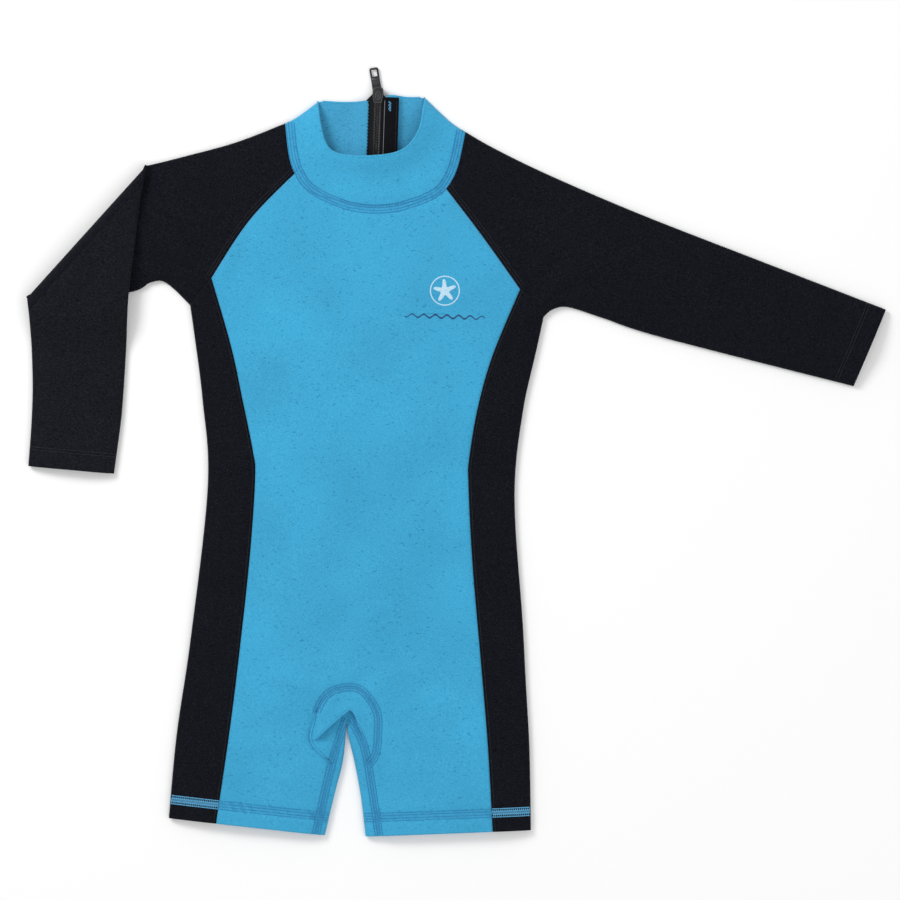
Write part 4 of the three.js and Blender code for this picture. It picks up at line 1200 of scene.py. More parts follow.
fore_lines = [
    joined(folded_cuff_top - folded_across * 9, folded_cuff_foot + folded_across * 9),
    joined(bend_top - crease_run * 16, bend_foot + crease_run * 16),
]
fore_verts, fore_tris, fore_centre = flat_layer(fore_outline, fore_lines)
fore_tag = assign(
    fore_centre,
    [
        ("cut", past_line(folded_cuff_top, folded_cuff_foot, folded_run)),
        ("cut", past_line(bend_top, bend_foot, -crease_inward)),
    ],
    "forearm",
)
FORE_FOLDS = [
    ([(-192, 214), (-204, 176), (-196, 138)], 8.0, 1.0),
    ([(-226, 200), (-222, 166), (-236, 132)], 9.0, 0.9),
    ([(-250, 122), (-226, 108), (-200, 112)], 9.0, 0.9),
    ([(-258, 84), (-232, 76), (-206, 86)], 10.0, 0.8),
    ([(-196, 60), (-218, 44), (-246, 48)], 11.0, 0.6),
    ([(-232, 30), (-226, 16), (-228, 4)], 10.0, 0.5),
]
FORE_LINES = [(spline(line, 16), width, height) for line, width, height in FORE_FOLDS]


FORE_LOW, FORE_HIGH, DROOP_REACH = 0.3, 9.5, 38.0


def fore_level(pts):
    """Height of the forearm's underside: on the sleeve, then sloping down to the floor."""
    return FORE_LOW + (FORE_HIGH - FORE_LOW) * smooth((pts[:, 1] - droop_y + DROOP_REACH) / DROOP_REACH)


def fore_top_height(pts):
    return fore_heights(pts)[0]


def fore_under_height(pts):
    return fore_heights(pts)[1]


def fore_heights(pts):
    d = distance(fore_outline, pts, closed=True)
    room = 1 - np.exp(-d / 8)
    crown = FOLD * 2 + (8.2 - FOLD * 2) * (1 - np.exp(-np.maximum(d - FOLD, 0) / 13))
    crown += room * (0.7 * broad(pts + 31) + 0.45 * middle_noise(pts + 17) + 0.1 * fine_noise(pts))
    crown += room * folds_at(pts, FORE_LINES)
    edge = rounding(d, FOLD)
    level = fore_level(pts)
    return level + FOLD + (crown - FOLD) * edge, level + FOLD + (0.0 - FOLD) * edge


fore_top, fore_under = fore_heights(fore_verts)
fore_kept = fore_tris[fore_tag == "forearm"]
cloth(
    "sleeve_right_forearm",
    [(np.c_[fore_verts, fore_top], fore_kept), (np.c_[fore_verts, fore_under], fore_kept[:, ::-1])],
    black_back,
    "forearm",
    ["right_sleeve_forearm"],
)


def crossing(edge):
    """Where an edge crosses the line at which the bend begins."""
    run = unit(bend_foot - bend_top)
    normal = P(-run[1], run[0])
    side = (edge - bend_top) @ normal
    hits = []
    for i in range(len(edge) - 1):
        if side[i] * side[i + 1] < 0:
            t = side[i] / (side[i] - side[i + 1])
            hits.append(edge[i] + (edge[i + 1] - edge[i]) * t)
    return sorted(hits, key=lambda q: float(np.linalg.norm(q - (bend_top + bend_foot) / 2)))[0]


upper_edge = right_upper_edge()
sleeve_a, sleeve_b = crossing(upper_edge[:24]), crossing(upper_edge[20:])
arm_a, arm_b = crossing(inner_edge), crossing(outer_edge)


def bend_strip(low_height, high_height, depth):
    """The cloth that turns over at the crease, from the sleeve's layer to the forearm's."""
    rows, cols = 26, 64
    t = 0.5 - 0.5 * np.cos(np.linspace(0, math.pi, cols))
    low = sleeve_a + (sleeve_b - sleeve_a) * t[:, None]
    high = arm_a + (arm_b - arm_a) * t[:, None]
    turn = crease_top + (crease_foot - crease_top) * t[:, None]
    z_low, z_high = low_height(low), high_height(high)
    rim_room = smooth(np.minimum(t, 1 - t) * 14)
    turn = turn + crease_inward * (depth * rim_room)[:, None]
    z_mid = (z_low + z_high) / 2
    z_mid = z_mid + (9.2 - z_mid) * 0.7
    pts = []
    for k in range(rows + 1):
        angle = (k / rows - 0.5) * math.pi
        c, s = 1 - math.cos(angle), math.sin(angle)
        end, z_end = (low, z_low) if angle < 0 else (high, z_high)
        xy = turn + (end - turn) * c
        pts.append(np.c_[xy, z_mid + (z_end - z_mid) * abs(s)])
    verts = np.vstack(pts)
    tris = []
    for k in range(rows):
        for i in range(cols - 1):
            a = k * cols + i
            b, c, d = a + 1, a + cols, a + cols + 1
            tris += [(a, b, d), (a, d, c)]
    return verts, np.array(tris)


def facing(verts, tris, direction):
    """The triangles, turned round when they face away from the direction."""
    n = np.cross(verts[tris[:, 1]] - verts[tris[:, 0]], verts[tris[:, 2]] - verts[tris[:, 0]]).sum(0)
    return tris if n @ np.array(direction) > 0 else tris[:, ::-1]


def bend_piece(name, low_height, high_height, depth, outward):
    verts, tris = bend_strip(low_height, high_height, depth)
    tris = facing(verts, tris, outward)
    points, faces = thickened(verts, tris, CLOTH)
    obj = make_object(name, to_row(points), faces, black)
    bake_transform(obj)


out_dir = (-crease_inward[0], -crease_inward[1], 0)
in_dir = tuple(-v for v in out_dir)
bend_piece("sleeve_bend_outer", back_height, fore_top_height, 0.0, out_dir)
bend_piece("sleeve_bend_inner", front_height, fore_under_height, 3.2, in_dir)

# ---------------------------------------------------------------------------
# Collar, its lining and its rolled edge
# ---------------------------------------------------------------------------
cloth("collar_outer", layers("collar", "collar"), blue, "suit", ["collar"])
LINING = 0.8


def lining_layer(verts, z, tris, upward):
    d = distance(outline, verts, closed=True)
    edge = rounding(d - 1.7, 1.6)
    away = verts[:, 0] - ZIP_X
    shift = CLOTH + 0.12
    if upward:
        shift = shift + 0.95 * smooth((17.5 - np.abs(away)) / 4)
        level = z + shift
    else:
        level = z - shift
    level = FOLD + (level - FOLD) * edge
    keep = (d[tris] > 1.66).all(1)
    if upward:
        centre = verts[tris].mean(1)
        keep &= ~(np.abs(centre[:, 0] - ZIP_X) < SLOT_HALF + 0.6)
    return np.c_[verts, level], tris[keep] if not upward else tris[keep][:, ::-1]


front_lining = lining_layer(f_verts, f_z, f_tris[f_tag == "collar"], False)
back_lining = lining_layer(b_verts, b_z, b_tris[b_tag == "collar"], True)
linings = [front_lining, back_lining]
cloth("collar_inner", linings, lining_blue, "suit", ["collar_lining"], LINING)


def tube(line, radius, sides=8, closed=False, squash=1.0, taper=None):
    """A round or flattened tube along a 3-D line, in millimetres."""
    line = np.array(line, float)
    run = np.roll(line, -1, 0) - np.roll(line, 1, 0) if closed else np.gradient(line, axis=0)
    run /= np.linalg.norm(run, axis=1)[:, None] + 1e-12
    up = np.tile((0.0, 0.0, 1.0), (len(line), 1))
    side = np.cross(run, up)
    norm = np.linalg.norm(side, axis=1)
    side[norm < 1e-3] = (1, 0, 0)
    side /= np.linalg.norm(side, axis=1)[:, None]
    up = np.cross(side, run)
    angle = np.linspace(0, 2 * math.pi, sides, endpoint=False)
    r = np.full(len(line), radius) if taper is None else radius * taper
    ring = side[:, None] * np.cos(angle)[None, :, None]
    ring = ring + up[:, None] * (np.sin(angle) * squash)[None, :, None]
    verts = (line[:, None] + ring * r[:, None, None]).reshape(-1, 3)
    faces = []
    count = len(line)
    for i in range(count if closed else count - 1):
        j = (i + 1) % count
        for k in range(sides):
            m = (k + 1) % sides
            faces.append((i * sides + k, i * sides + m, j * sides + m, j * sides + k))
    if not closed:
        faces.append(tuple(range(sides))[::-1])
        faces.append(tuple((count - 1) * sides + k for k in range(sides)))
    return verts, faces


def merged(name, tubes, material, body, nodes=()):
    verts, faces, base = [], [], 0
    for v, f in tubes:
        verts.append(v)
        faces += [tuple(i + base for i in face) for face in f]
        base += len(v)
    obj = make_object(name, to_row(np.vstack(verts)), faces, material)
    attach(obj, body)
    if nodes:
        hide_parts(*nodes)
    return obj


rim_line = resample(rim, 1.5)
rim_z = front_height(rim_line) - 0.95
rim_d = distance(outline, rim_line, closed=True)
rim_taper = 0.35 + 0.65 * np.clip(rim_d / 7, 0, 1)
lip = [tube(np.c_[rim_line, rim_z], 1.15, 10, False, 1.15, rim_taper)]
mouth_line = resample(collar_mouth, 1.5)
mouth_in = inside(outline, mouth_line) & (distance(outline, mouth_line, closed=True) > 2.2)
for side in (RIGHT, LEFT):
    keep = mouth_in & (side * (mouth_line[:, 0] - ZIP_X) > SLOT_HALF + 0.8)
    part = mouth_line[keep]
    part_z = back_height(part) + 1.15 + 0.45 * smooth((17.5 - np.abs(part[:, 0] - ZIP_X)) / 4)
    lip.append(tube(np.c_[part, part_z], 1.0, 10, False, 1.25))
merged("collar_rolled_edge", lip, blue, "suit")

# The gusset's turned corner: rounded folds along its free edges
gusset_rolls = []
fold_line = resample(gusset_fold, 0.8)
fold_share = np.linspace(0, 1, len(fold_line))
fold_up = front_height(offset(fold_line, 1.2))
fold_taper = 0.25 + 0.75 * smooth(fold_share * 9) * smooth((1 - fold_share) * 3)
gusset_rolls.append(tube(np.c_[fold_line, fold_up - 1.02 * fold_taper], 1.0, 10, False, 1.0, fold_taper))
arch_run = gusset_arch()
corner_line = resample(arch_run[(arch_run[:, 0] < -19) & (arch_run[:, 1] < -180)], 0.8)
corner_line = resample(joined(P(-17.9, -218.6), corner_line[1:]), 0.8)
corner_share = np.linspace(0, 1, len(corner_line))
corner_up = front_height(offset(corner_line, -1.6))
corner_taper = 0.2 + 0.8 * smooth(corner_share * 5) * smooth((1 - corner_share) * 4)
corner_line = np.c_[corner_line, corner_up - 0.92 * corner_taper]
gusset_rolls.append(tube(corner_line, 0.9, 10, False, 1.0, corner_taper))
merged("gusset_turned_edge", gusset_rolls, blue, "suit")

# ---------------------------------------------------------------------------
# Thread rows
# ---------------------------------------------------------------------------
STITCH = 2.3


def inside_keep(line, keeps, under=False):
    mask = inside(outline, line) & (distance(outline, line, closed=True) > 0.5)
    for polygon in cuts + ([slot_cut, mouth_cut] if under else []):
        mask &= ~inside(polygon, line)
    for polygon in keeps:
        mask &= inside(polygon, line)
    return mask


def runs_of(mask):
    runs, start = [], None
    for i, m in enumerate(mask):
        if m and start is None:
            start = i
        if not m and start is not None:
            runs.append((start, i))
            start = None
    if start is not None:
        runs.append((start, len(mask)))
    return [r for r in runs if r[1] - r[0] > 5]


def sewn_row(line, height, radius, keeps=(), under=False, phase=0.0, stitch=STITCH, mask=None):
    """Tubes along one row of stitches; each stitch rises out of the cloth and dives back in."""
    line = resample(line, 0.5)
    seen = inside_keep(line, keeps, under) if mask is None else mask(line)
    out = []
    for a, b in runs_of(seen):
        run = line[a:b]
        s = np.arange(len(run)) * 0.5 + phase
        lift = radius * (2.0 * np.abs(np.sin(math.pi * s / stitch)) ** 0.6 - 1.1)
        z = height(run)
        z = z - lift if under else z + lift
        if under:
            z = np.maximum(z, radius * 1.02)
        out.append(tube(np.c_[run, z], radius, 6))
    return out


def cover(line, reach, height, keeps=(), radius=0.15, pitch=2.3, under=False, mask=None):
    """The looping thread that crosses between a band's outer rows."""
    line = resample(line, pitch / 6)
    seen = inside_keep(line, keeps, under) if mask is None else mask(line)
    run = np.gradient(line, axis=0)
    run /= np.linalg.norm(run, axis=1)[:, None]
    normal = np.stack([-run[:, 1], run[:, 0]], 1)
    phase = np.arange(len(line)) / 6
    swing = np.abs((phase % 1) * 2 - 1) * 2 - 1
    path = line + normal * (swing * reach)[:, None]
    out = []
    for a, b in runs_of(seen):
        z = height(path[a:b])
        out.append(tube(np.c_[path[a:b], np.maximum(z - 0.02, radius) if under else z + 0.03], radius, 5))
    return out


def band(line, rows, height, radius=0.3, keeps=(), under=False):
    out = []
    for i, distance_to in enumerate(rows):
        out += sewn_row(offset(line, distance_to), height, radius, keeps, under, i * 0.6)
    return out


FOUR = (-3.2, -1.15, 1.15, 3.2)  # thread rows across a band
FOUR_NARROW = (-2.9, -1.0, 1.0, 2.9)
neck_path = spline(front_neck[1:-1][::4], 150)
path_side = smooth((np.abs(neck_path[:, 0] - NECK_X) - 16) / 46)
path_shift = 3.7 * path_side - 2.2 * (1 - path_side)
neck_path = neck_path + (offset(neck_path, 1) - neck_path) * path_shift[:, None]
back_neck_path = spline(back_neck[1:-1][::4], 120)
neck_cover = cover(neck_path, 3.2, front_height) + cover(back_neck_path, 3.2, back_height, under=True)
neck_rows = band(neck_path, FOUR, front_height) + band(back_neck_path, FOUR, back_height, under=True)
merged("neck_thread", neck_rows, blue_thread, "suit", ["neck_stitching"])
merged("neck_cover_thread", neck_cover, cover_thread, "suit")
arch_path = gusset_arch()
inseam_paths = {side: inseam(side)[2:] for side in (RIGHT, LEFT)}
arch_corner = joined(P(-60, -181), P(-14, -181), P(-14, -240), P(-60, -240))


def on_arch(pts):
    return inside_keep(pts, ()) & ~inside(arch_corner, pts)


arch_rows = []
for i, r in enumerate(FOUR_NARROW):
    arch_rows += sewn_row(offset(arch_path, r), front_height, 0.26, phase=i * 0.6, mask=on_arch)
merged("gusset_thread", arch_rows, blue_thread, "suit", ["gusset_stitching"])
blue_covers = cover(arch_path, 2.9, front_height, mask=on_arch)
for side, word in SIDES:
    seam_rows = band(inseam_paths[side], FOUR_NARROW, front_height)
    node = f"inseam_stitching_{word}"
    merged(f"inseam_thread_{word}", seam_rows, blue_thread, "suit", [node])
    blue_covers += cover(inseam_paths[side], 2.9, front_height)
merged("seam_cover_thread", blue_covers, cover_thread, "suit")

for side, word in SIDES:
    sign = 1 if side == RIGHT else -1
    base = hem_line(side)
    line = joined(base[0], base[1] + unit(base[1] - base[0]) * 12)
    centre = offset(line, sign * HEM_DEPTH)
    black_part = side_region(side)
    sky, dark, sky_cover, dark_cover = [], [], [], []

    def on_black(pts, part=black_part):
        return inside_keep(pts, ()) & inside(part, pts)

    def on_blue(pts, part=black_part):
        return inside_keep(pts, ()) & ~inside(part, pts)

    for layer_height, under in ((front_height, False), (back_height, True)):
        for i, r in enumerate(FOUR):
            row_line = offset(centre, r)
            sky += sewn_row(row_line, layer_height, 0.36, under=under, phase=i * 0.7, mask=on_black)
            dark += sewn_row(row_line, layer_height, 0.26, under=under, phase=i * 0.7, mask=on_blue)
        sky_cover += cover(centre, 3.2, layer_height, radius=0.27, pitch=1.5, under=under, mask=on_black)
        dark_cover += cover(centre, 3.2, layer_height, under=under, mask=on_blue)
    merged(f"hem_thread_{word}", sky, sky_thread, "suit", [f"hem_stitching_{word}"])
    merged(f"hem_cover_{word}", sky_cover, sky_thread, "suit")
    merged(f"hem_thread_blue_{word}", dark, blue_thread, "suit")
    merged(f"hem_cover_blue_{word}", dark_cover, cover_thread, "suit")


def below_collar(pts):
    return inside_keep(pts, ()) & ~inside(collar_region(front_neck), pts)


for side, word in SIDES:
    rows = []
    # on the sleeve's side of the seam
    out = 1 if side == LEFT else -1
    for inset in (2.3, 4.4):
        front_row = offset(front_raglan[side], out * inset)
        back_row = offset(back_raglan[side], out * inset)
        rows += sewn_row(front_row, front_height, 0.17, stitch=2.8, mask=below_collar)
        rows += sewn_row(back_row, back_height, 0.17, under=True, stitch=2.8)
    merged(f"raglan_thread_{word}", rows, black_thread, "suit", [f"raglan_stitching_{word}"])
    # a sky-blue row just inside the seam on the body's side: a painted highlight standing for light along the
    # seam's raised edge
    highlight_line = offset(front_raglan[side], -out * 0.8)
    highlight_row = sewn_row(highlight_line, front_height, 0.26, stitch=2.0, mask=below_collar)
    merged(f"raglan_edge_highlight_thread_{word}", highlight_row, sky_thread, "suit")

panel_rows = []
for side in (RIGHT, LEFT):
    line = panel_seam(side)
    panel_rows += sewn_row(offset(line, side * 2.0 if side == LEFT else -2.0), front_height, 0.14, stitch=2.6)
    panel_rows += sewn_row(underarm_seam(side)[:2], lambda p: front_height(p) - 0.1, 0.14, stitch=2.6)
merged("side_seam_thread", panel_rows, black_thread, "suit")



def cuff_line(top, foot, run, across):
    return joined(top - run * CUFF_HEM - across * 12, foot - run * CUFF_HEM + across * 12)


cuff = cuff_line(left_cuff_top, left_cuff_foot, left_run, left_across)
cuff_rows = []
for r in (-1.1, 1.1):
    cuff_rows += sewn_row(offset(cuff, r), front_height, 0.18, stitch=2.6)
    cuff_rows += sewn_row(offset(cuff, r), back_height, 0.18, under=True, stitch=2.6)
merged("cuff_thread_left", cuff_rows, black_thread, "suit", ["cuff_stitching_left"])
fore_cuff = cuff_line(folded_cuff_top, folded_cuff_foot, folded_run, folded_across)


def on_forearm(pts):
    return inside(fore_outline, pts) & (distance(fore_outline, pts, closed=True) > 0.5)


fore_rows = []
for r in (-1.1, 1.1):
    for height, under in ((fore_top_height, False), (fore_under_height, True)):
        fore_rows += sewn_row(offset(fore_cuff, r), height, 0.18, under=under, stitch=2.6, mask=on_forearm)
merged("cuff_thread_right", fore_rows, black_thread, "forearm", ["cuff_stitching_right"])

for side, word in SIDES:
    x = ZIP_X + side * (SLOT_HALF + 1.6)
    rows = sewn_row(joined(P(x, slot_foot_y - 1), P(x, 300)), back_height, 0.2, under=True)
    x += side * 3.4
    rows += sewn_row(joined(P(x, slot_foot_y - 1), P(x, 300)), back_height, 0.2, under=True)
    merged(f"zip_thread_{word}", rows, blue_thread, "suit", [f"zip_stitching_{word}"])
centre_rows = []
centre_path = joined(P(ZIP_X, slot_foot_y - 2), P(CROTCH_X, CROTCH_Y + 14), P(CROTCH_X, CROTCH_Y + 3))
for r in (-2.6, 2.6):
    centre_rows += sewn_row(offset(resample(centre_path, 4), r), back_height, 0.2, under=True)
merged("centre_back_thread", centre_rows, blue_thread, "suit", ["centre_back_stitching"])

# ---------------------------------------------------------------------------
# Zip: woven tapes, wound coils, stops, slider, pull and guard
# ---------------------------------------------------------------------------
TAPE_Z, TAPE, TAPE_HALF, CHAIN_Z = 3.7, 0.6, 13.5, 4.0
coil_top_y = zip_top_y + 9
coil_foot_y = hinge_y - ZIP_OPENING - SLIDER_LENGTH / 2 - 0.3


def grid_surface(xs, ys, height):
    verts = np.array([(x, y, height(x, y)) for y in ys for x in xs])
    n = len(xs)
    tris = []
    for j in range(len(ys) - 1):
        for i in range(n - 1):
            a = j * n + i
            tris += [(a, a + 1, a + n + 1), (a, a + n + 1, a + n)]
    return verts, np.array(tris)


for side, word in SIDES:
    shares = np.linspace(0, 1, 13)
    ys = np.linspace(slot_foot_y - 12, coil_top_y, 130)
    verts, tris = grid_surface(shares, ys, lambda x, y: 0.0)
    share = verts[:, 0].copy()
    verts[:, 0] = ZIP_X + side * (2.45 + share * (TAPE_HALF - 2.45))
    # the tape's top end slants down from the coil
    verts[:, 1] -= share * 12 * smooth((verts[:, 1] - coil_top_y + 26) / 26)
    ripple = 0.05 * np.sin(share * 40) + 0.1 * fine_noise(verts[:, :2])
    bead = 0.22 * np.exp(-(((share - 0.04) / 0.05) ** 2)) + 0.12 * np.exp(-(((share - 0.97) / 0.03) ** 2))
    verts[:, 2] = TAPE_Z + TAPE * 0.85 + ripple + bead - 0.25 * smooth((share - 0.5) * 2)
    if side == RIGHT:
        tris = tris[:, ::-1]
    cloth(f"zip_tape_woven_{word}", [(verts, tris)], tape, "suit", [f"zip_tape_{word}"], 0.5)
    pitch = 1.25
    turns = (coil_top_y - coil_foot_y) / pitch
    t = np.arange(0, turns, 1 / 9)
    angle = 2 * math.pi * (t + (0.5 if side == LEFT else 0))
    x = ZIP_X + side * (1.1 + 1.05 * -np.cos(angle) * 0.98)
    z = CHAIN_Z + 0.52 * np.sin(angle)
    y = coil_foot_y + 0.25 + t * pitch
    y = y[y < coil_top_y]
    line = np.c_[x[: len(y)], y, z[: len(y)]]
    wire = [tube(line, 0.27, 6)]
    merged(f"zip_coil_wound_{word}", wire, coil_plastic, "suit", [f"zip_coil_{word}"])
    # chain stitches that hold the coil to the tape
    hold = np.arange(coil_foot_y, coil_top_y, 0.35)
    stitch_z = TAPE_Z + TAPE + 0.28 + 0.12 * np.abs(np.sin(hold * math.pi / pitch))
    hold_line = np.c_[np.full_like(hold, ZIP_X + side * 2.75), hold, stitch_z]
    merged(f"zip_coil_stitch_{word}", [tube(hold_line, 0.2, 6)], black_thread, "suit")

guard_top = collar_top(RIGHT)[1] + 5
gx0, gx1 = ZIP_X + 5, ZIP_X + 16.4


def guard_height(x, y):
    edge = min((x - gx0) / 1.2, 1.0)
    wave = 0.25 * math.sin(y * 0.21) * (x - gx0) / 11
    droop = 0.5 * max(0, (x - gx1 + 4) / 4)
    return 6.25 + 0.35 * max(edge, 0) + wave - droop


guard_xs = np.r_[np.linspace(gx0, gx0 + 1.6, 6), np.linspace(gx0 + 2.4, gx1, 10)]
guard_ys = np.linspace(guard_top - 49, guard_top, 40)
guard_verts, guard_tris = grid_surface(guard_xs, guard_ys, guard_height)
round_off = smooth((guard_verts[:, 1] - guard_top + 5) / 5)
guard_in = gx0 + 2.2 - guard_verts[:, 0]
guard_verts[:, 0] += round_off * guard_in * np.clip(guard_in / 2.2, 0, 1)
cloth("zip_guard_flap", [(guard_verts, guard_tris)], guard_knit, "suit", ["zip_guard"], 0.8)
# two rows on the guard: a light row on the free edge that is a painted highlight, and the seam's black
# stitching
guard_line = np.arange(guard_top - 48, guard_top - 2, 0.5)
guard_seam_and_highlight_rows = [
    np.c_[
        np.full_like(guard_line, x),
        guard_line,
        [guard_height(x, y) + 0.12 * abs(math.sin(y * 1.4)) for y in guard_line],
    ]
    for x in (gx0 + 0.5, gx1 - 1.6)
]
merged("guard_edge_highlight_thread", [tube(guard_seam_and_highlight_rows[0], 0.17, 6)], guard_edge_highlight_colour, "suit")
merged("guard_seam_thread", [tube(guard_seam_and_highlight_rows[1], 0.17, 6)], black_thread, "suit")
zigzag = np.linspace(0, 1, 70)
tack = []
for k, swing in enumerate((0.95, 0.6)):
    tack_x = ZIP_X + 9.4 + 0.4 * k + swing * np.sin(zigzag * (19 + 5 * k) + k)
    tack_y = guard_top - 10.5 + 7.5 * zigzag
    tack_z = [guard_height(x, y) + 0.2 for x, y in zip(tack_x, tack_y)]
    tack.append(tube(np.c_[tack_x, tack_y, tack_z], 0.17, 6))
merged("guard_tack", tack, sky_thread, "suit")


def solid_from_outline(points, z0, z1, bevel):
    """A plate with rounded edges, in millimetres."""
    pts = np.array(points, float)
    verts, faces = [], []
    centre = pts.mean(0)
    rings = [(z0, bevel), (z0 + bevel * 0.35, bevel * 0.3), (z0 + bevel, 0)]
    rings += [(z1 - bevel, 0), (z1 - bevel * 0.35, bevel * 0.3), (z1, bevel)]
    for z, inset in rings:
        d = pts - centre
        length = np.linalg.norm(d, axis=1)[:, None]
        q = centre + d * (1 - inset / length)
        verts += [(x, y, z) for x, y in q]
    n = len(pts)
    for k in range(len(rings) - 1):
        for i in range(n):
            j = (i + 1) % n
            faces.append((k * n + i, k * n + j, (k + 1) * n + j, (k + 1) * n + i))
    faces.append(tuple(range(n))[::-1])
    faces.append(tuple((len(rings) - 1) * n + i for i in range(n)))
    return np.array(verts), faces


def slider_half(share):
    """Half-width of the slider at a share of its length."""
    return float(np.interp(share, [0, 0.12, 0.45, 0.8, 0.92, 1], [3.1, 3.5, 4.25, 4.2, 3.4, 1.9]))


def slider_ring(x_radius, y_radius, z, count):
    """An oval on the slider's upper face."""
    angle = np.linspace(0, 2 * math.pi, count, endpoint=False)
    x, y = ZIP_X + x_radius * np.cos(angle), hinge_y - 0.4 + y_radius * np.sin(angle)
    return np.c_[x, y, np.full(count, z)]


shares = np.linspace(0, 1, 22)
slider_plan = [(ZIP_X + slider_half(s), zip_top_y + SLIDER_LENGTH * s) for s in shares]
slider_plan += [(ZIP_X - slider_half(s), zip_top_y + SLIDER_LENGTH * s) for s in shares[::-1]]
post = [(ZIP_X + x, hinge_y + y) for x, y in ((-0.3, 1.2), (0.3, 1.2), (0.3, 5.9), (-0.3, 5.9))]
plates = [
    solid_from_outline(slider_plan, 2.3, 3.05, 0.22),
    solid_from_outline(slider_plan, 4.98, 5.62, 0.24),
    solid_from_outline(post, 2.9, 5.1, 0.08),
]
inset_plan = [(ZIP_X + (x - ZIP_X) * 0.86, hinge_y + (y - hinge_y) * 0.9, 5.6) for x, y in slider_plan]
relief = [
    tube(slider_ring(1.9, 3.0, 5.62, 40), 0.34, 8, True),
    tube(inset_plan, 0.22, 6, True),
    tube(slider_ring(0.7, 1.1, 5.6, 16), 0.3, 6, True),
]
# the raised rings take the lighter enamel, a painted highlight
merged("slider_relief", relief, relief_highlight_metal, "slider")
for side in (RIGHT, LEFT):
    lip_shares = np.linspace(0.03, 0.8, 20)
    lip_x = [ZIP_X + side * (slider_half(s) - 0.35) for s in lip_shares]
    lip_line = np.c_[lip_x, zip_top_y + SLIDER_LENGTH * lip_shares, np.full(20, 4.75)]
    plates.append(tube(lip_line, 0.36, 8, False, 0.9))
    low_lip = lip_line.copy()
    low_lip[:, 2] = 3.15
    plates.append(tube(low_lip, 0.33, 8, False, 0.6))
arc = np.linspace(0.0, math.pi, 24)
bridge = [(ZIP_X, hinge_y + 3.0 * math.cos(a), 2.3 - 1.85 * math.sin(a) ** 0.6) for a in arc]
plates.append(tube(bridge, 0.62, 8, False, 0.6))
merged("slider_body", plates, metal, "slider", ["zip_slider"])

lean = math.radians(11)  # of the pull from the zip line


def pull_shape():
    """The tab's outline with its eye and window as holes, each a closed loop from its hinge outwards."""

    def rounded(x0, x1, y0, y1, r):
        out = []
        corners = ((x1 - r, y0 + r, -90), (x1 - r, y1 - r, 0), (x0 + r, y1 - r, 90), (x0 + r, y0 + r, 180))
        for cx, cy, start in corners:
            for a in np.linspace(start, start + 90, 7):
                out.append((cx + r * math.cos(math.radians(a)), cy + r * math.sin(math.radians(a))))
        return np.array(out)

    outer = rounded(-3.2, 3.2, -0.8, PULL_LENGTH, 0.9)
    waist = 1 - 0.08 * np.exp(-(((outer[:, 1] - 10.0) / 4.0) ** 2))
    outer[:, 0] *= waist
    return outer, rounded(-1.9, 1.9, 0.9, 4.2, 0.8), rounded(-2.2, 2.2, 14.6, 20.2, 0.5)


outer_loop, eye_loop, window_loop = pull_shape()
outer_loop = resample(joined(outer_loop, outer_loop[0]), 0.6)[:-1]
tab_xy, tab_tris = triangulated(*closed_loops([outer_loop, eye_loop, window_loop]))
mid = tab_xy[tab_tris].mean(1)
tab_tris = tab_tris[inside(outer_loop, mid) & ~inside(eye_loop, mid) & ~inside(window_loop, mid)]
turn = np.array([[math.cos(lean), -math.sin(lean)], [math.sin(lean), math.cos(lean)]])
pull_verts = np.c_[tab_xy @ turn.T + (ZIP_X, hinge_y), np.full(len(tab_xy), 2.05)]
tri_up = tab_tris.copy()
a, b, c = pull_verts[tri_up[:, 0]], pull_verts[tri_up[:, 1]], pull_verts[tri_up[:, 2]]
flip = np.cross(b - a, c - a)[:, 2] < 0
tri_up[flip] = tri_up[flip][:, ::-1]
tab_points, tab_faces = thickened(pull_verts, tri_up, 0.95)
tab_parts = [(tab_points, tab_faces)]


def on_tab(loop, z, radius, grow=0.0):
    centre = loop.mean(0)
    d = loop - centre
    loop = centre + d * (1 + grow / np.linalg.norm(d, axis=1)[:, None])
    xy = loop @ turn.T + (ZIP_X, hinge_y)
    return tube(np.c_[xy, np.full(len(xy), z)], radius, 8, True)


tab_parts.append(on_tab(outer_loop, 1.6, 0.46, -0.35))
tab_parts.append(on_tab(window_loop, 1.9, 0.28, 0.3))
bar = np.array([(-3.0, 0), (3.0, 0)]) @ turn.T + (ZIP_X, hinge_y)
tab_parts.append(tube(np.c_[resample(bar, 1.0), np.full(7, 1.55)], 0.45, 10))
merged("pull_tab_detailed", tab_parts, metal, "pull", ["pull_tab"])

for node in ("zip_top_stop_right", "zip_top_stop_left", "zip_bottom_stop"):
    low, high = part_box(node)
    lo, hi = np.array(low) * 1000 - (SHIFT_X, SHIFT_Y, 0), np.array(high) * 1000 - (SHIFT_X, SHIFT_Y, 0)
    clamp = [(lo[0], lo[1]), (hi[0], lo[1]), (hi[0], hi[1]), (lo[0], hi[1])]
    clamp = resample(joined(clamp, [clamp[0]]), 0.5)[:-1]
    plate = solid_from_outline(clamp, lo[2], hi[2], 0.3)
    merged(f"{node}_clamp", [plate], metal, "suit", [node])

# ---------------------------------------------------------------------------
# Printed mark: a plain starfish over a wave, in thin ink
# ---------------------------------------------------------------------------
def printing_ink(name, roughness, low, high):
    m, nt, bsdf = new_material(name, roughness, 0.3)
    grain = texture(nt, "ShaderNodeTexNoise", mapped(nt, (1000, 1000, 1000)), 1.2, Detail=4.0)
    tone = ramp(nt, grain.outputs["Fac"], [(0.35, low), (0.65, high)])
    nt.links.new(tone.outputs["Color"], bsdf.inputs["Base Color"])
    return m


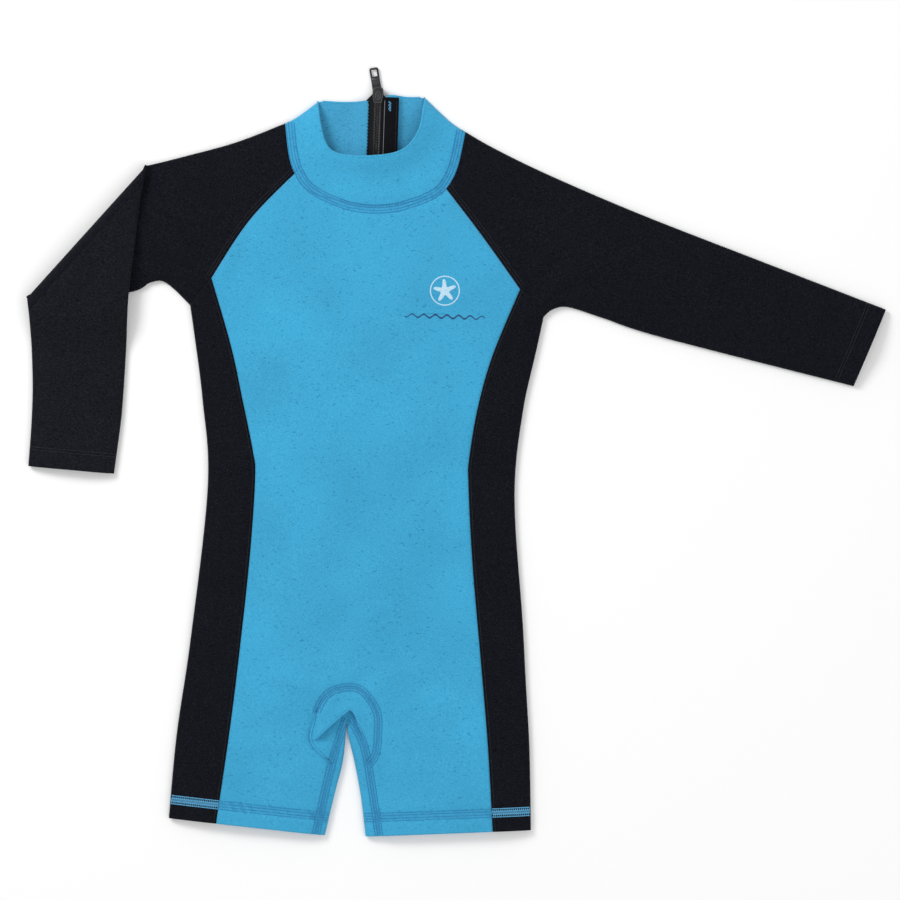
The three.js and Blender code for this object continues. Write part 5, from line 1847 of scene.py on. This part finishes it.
pale_ink = printing_ink("pale_ink", 0.55, srgb(150, 196, 220), srgb(196, 220, 234))
dark_ink = printing_ink("dark_ink", 0.5, srgb(20, 62, 104), srgb(30, 80, 126))


def ink(name, loops, material, lift=0.1):
    pts, edges = closed_loops([resample(joined(loop, loop[0]), 0.6)[:-1] for loop in loops])
    pts = np.array(pts)
    fill = lattice(pts.min(0), pts.max(0), 1.1)
    hole = np.zeros(len(fill), bool)
    for loop in loops:
        hole ^= inside(loop, fill)
    fill = thinned(fill[hole], 0.5, pts)
    xy, tris = triangulated(np.vstack([pts, fill]), edges)
    mid = xy[tris].mean(1)
    keep = np.zeros(len(mid), bool)
    for loop in loops:
        keep ^= inside(loop, mid)
    tris = tris[keep]
    verts = np.c_[xy, front_height(xy) + lift]
    a, b, c = verts[tris[:, 0]], verts[tris[:, 1]], verts[tris[:, 2]]
    down = np.cross(b - a, c - a)[:, 2] <= 0
    tris[down] = tris[down][:, ::-1]
    points, faces = thickened(verts, tris, 0.12)
    obj = make_object(name, to_row(points), faces, material)
    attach(obj, "suit")


MARK = P(59.9, 148.5)
angles = np.linspace(0, 2 * math.pi, 120, endpoint=False)


def round_to(r):
    """A closed line round the mark, at one radius or at one for each angle."""
    return MARK + np.stack([r * np.cos(angles), r * np.sin(angles)], 1)


star_r = 3.6 + 5.6 * (0.5 + 0.5 * np.cos(5 * (angles - math.pi / 2 - 0.12))) ** 1.9
ink("printed_ring", [round_to(11.6), round_to(10.7)], pale_ink)
ink("printed_starfish", [round_to(star_r)], pale_ink)
wave_x = np.linspace(-31, 32, 120)
wave_y = 1.3 * np.sin(wave_x * 2 * math.pi / 9.0)
wave_mid = MARK + P(0, -20) + np.stack([wave_x, wave_y], 1)
wave_w = 0.75 * np.sin(np.linspace(0.05, math.pi - 0.05, 120)) ** 0.4
wave_up = np.c_[0 * wave_w, wave_w]
ink("printed_wave", [joined(wave_mid + wave_up, (wave_mid - wave_up)[::-1])], dark_ink)

# ---------------------------------------------------------------------------
# Floor, light and camera
# ---------------------------------------------------------------------------
bpy.ops.mesh.primitive_plane_add(size=8, location=(0, 0, -0.0002))
floor = bpy.context.object
floor.name = "floor"
floor_material, _, floor_bsdf = new_material("floor_white", 0.9, 0.1)
floor_bsdf.inputs["Base Color"].default_value = (0.9, 0.9, 0.9, 1)
floor.data.materials.append(floor_material)
floor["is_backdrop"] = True

scene = bpy.context.scene
scene.view_settings.view_transform = "Standard"
scene.view_settings.look = "None"
world = bpy.data.worlds.new("studio")
world.use_nodes = True
world.node_tree.nodes["Background"].inputs["Color"].default_value = (1, 1, 1, 1)
world.node_tree.nodes["Background"].inputs["Strength"].default_value = 0.62
scene.world = world


def area_light(name, place, size, watts, at=(0, 0, 0)):
    data = bpy.data.lights.new(name, "AREA")
    data.shape = "SQUARE"
    data.size = size
    data.energy = watts
    obj = bpy.data.objects.new(name, data)
    obj.location = place
    obj.rotation_euler = (Vector(at) - Vector(place)).to_track_quat("-Z", "Y").to_euler()
    scene.collection.objects.link(obj)


area_light("key", (-1.5, 1.3, 1.5), 0.9, 34)
area_light("fill", (1.3, -0.9, 2.2), 2.4, 22)

CAMERA_HEIGHT, VIEW_WIDTH, SENSOR = 4.5, 0.6975, 36
lens = bpy.data.cameras.new("camera")
lens.sensor_width = SENSOR
lens.lens = SENSOR * CAMERA_HEIGHT / VIEW_WIDTH
lens.clip_start, lens.clip_end = 0.05, 20
camera = bpy.data.objects.new("camera", lens)
camera.location = (-0.00135, 0.0034, CAMERA_HEIGHT)
camera.rotation_euler = (0, 0, 0.0332)
scene.collection.objects.link(camera)
scene.camera = camera

low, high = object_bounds()
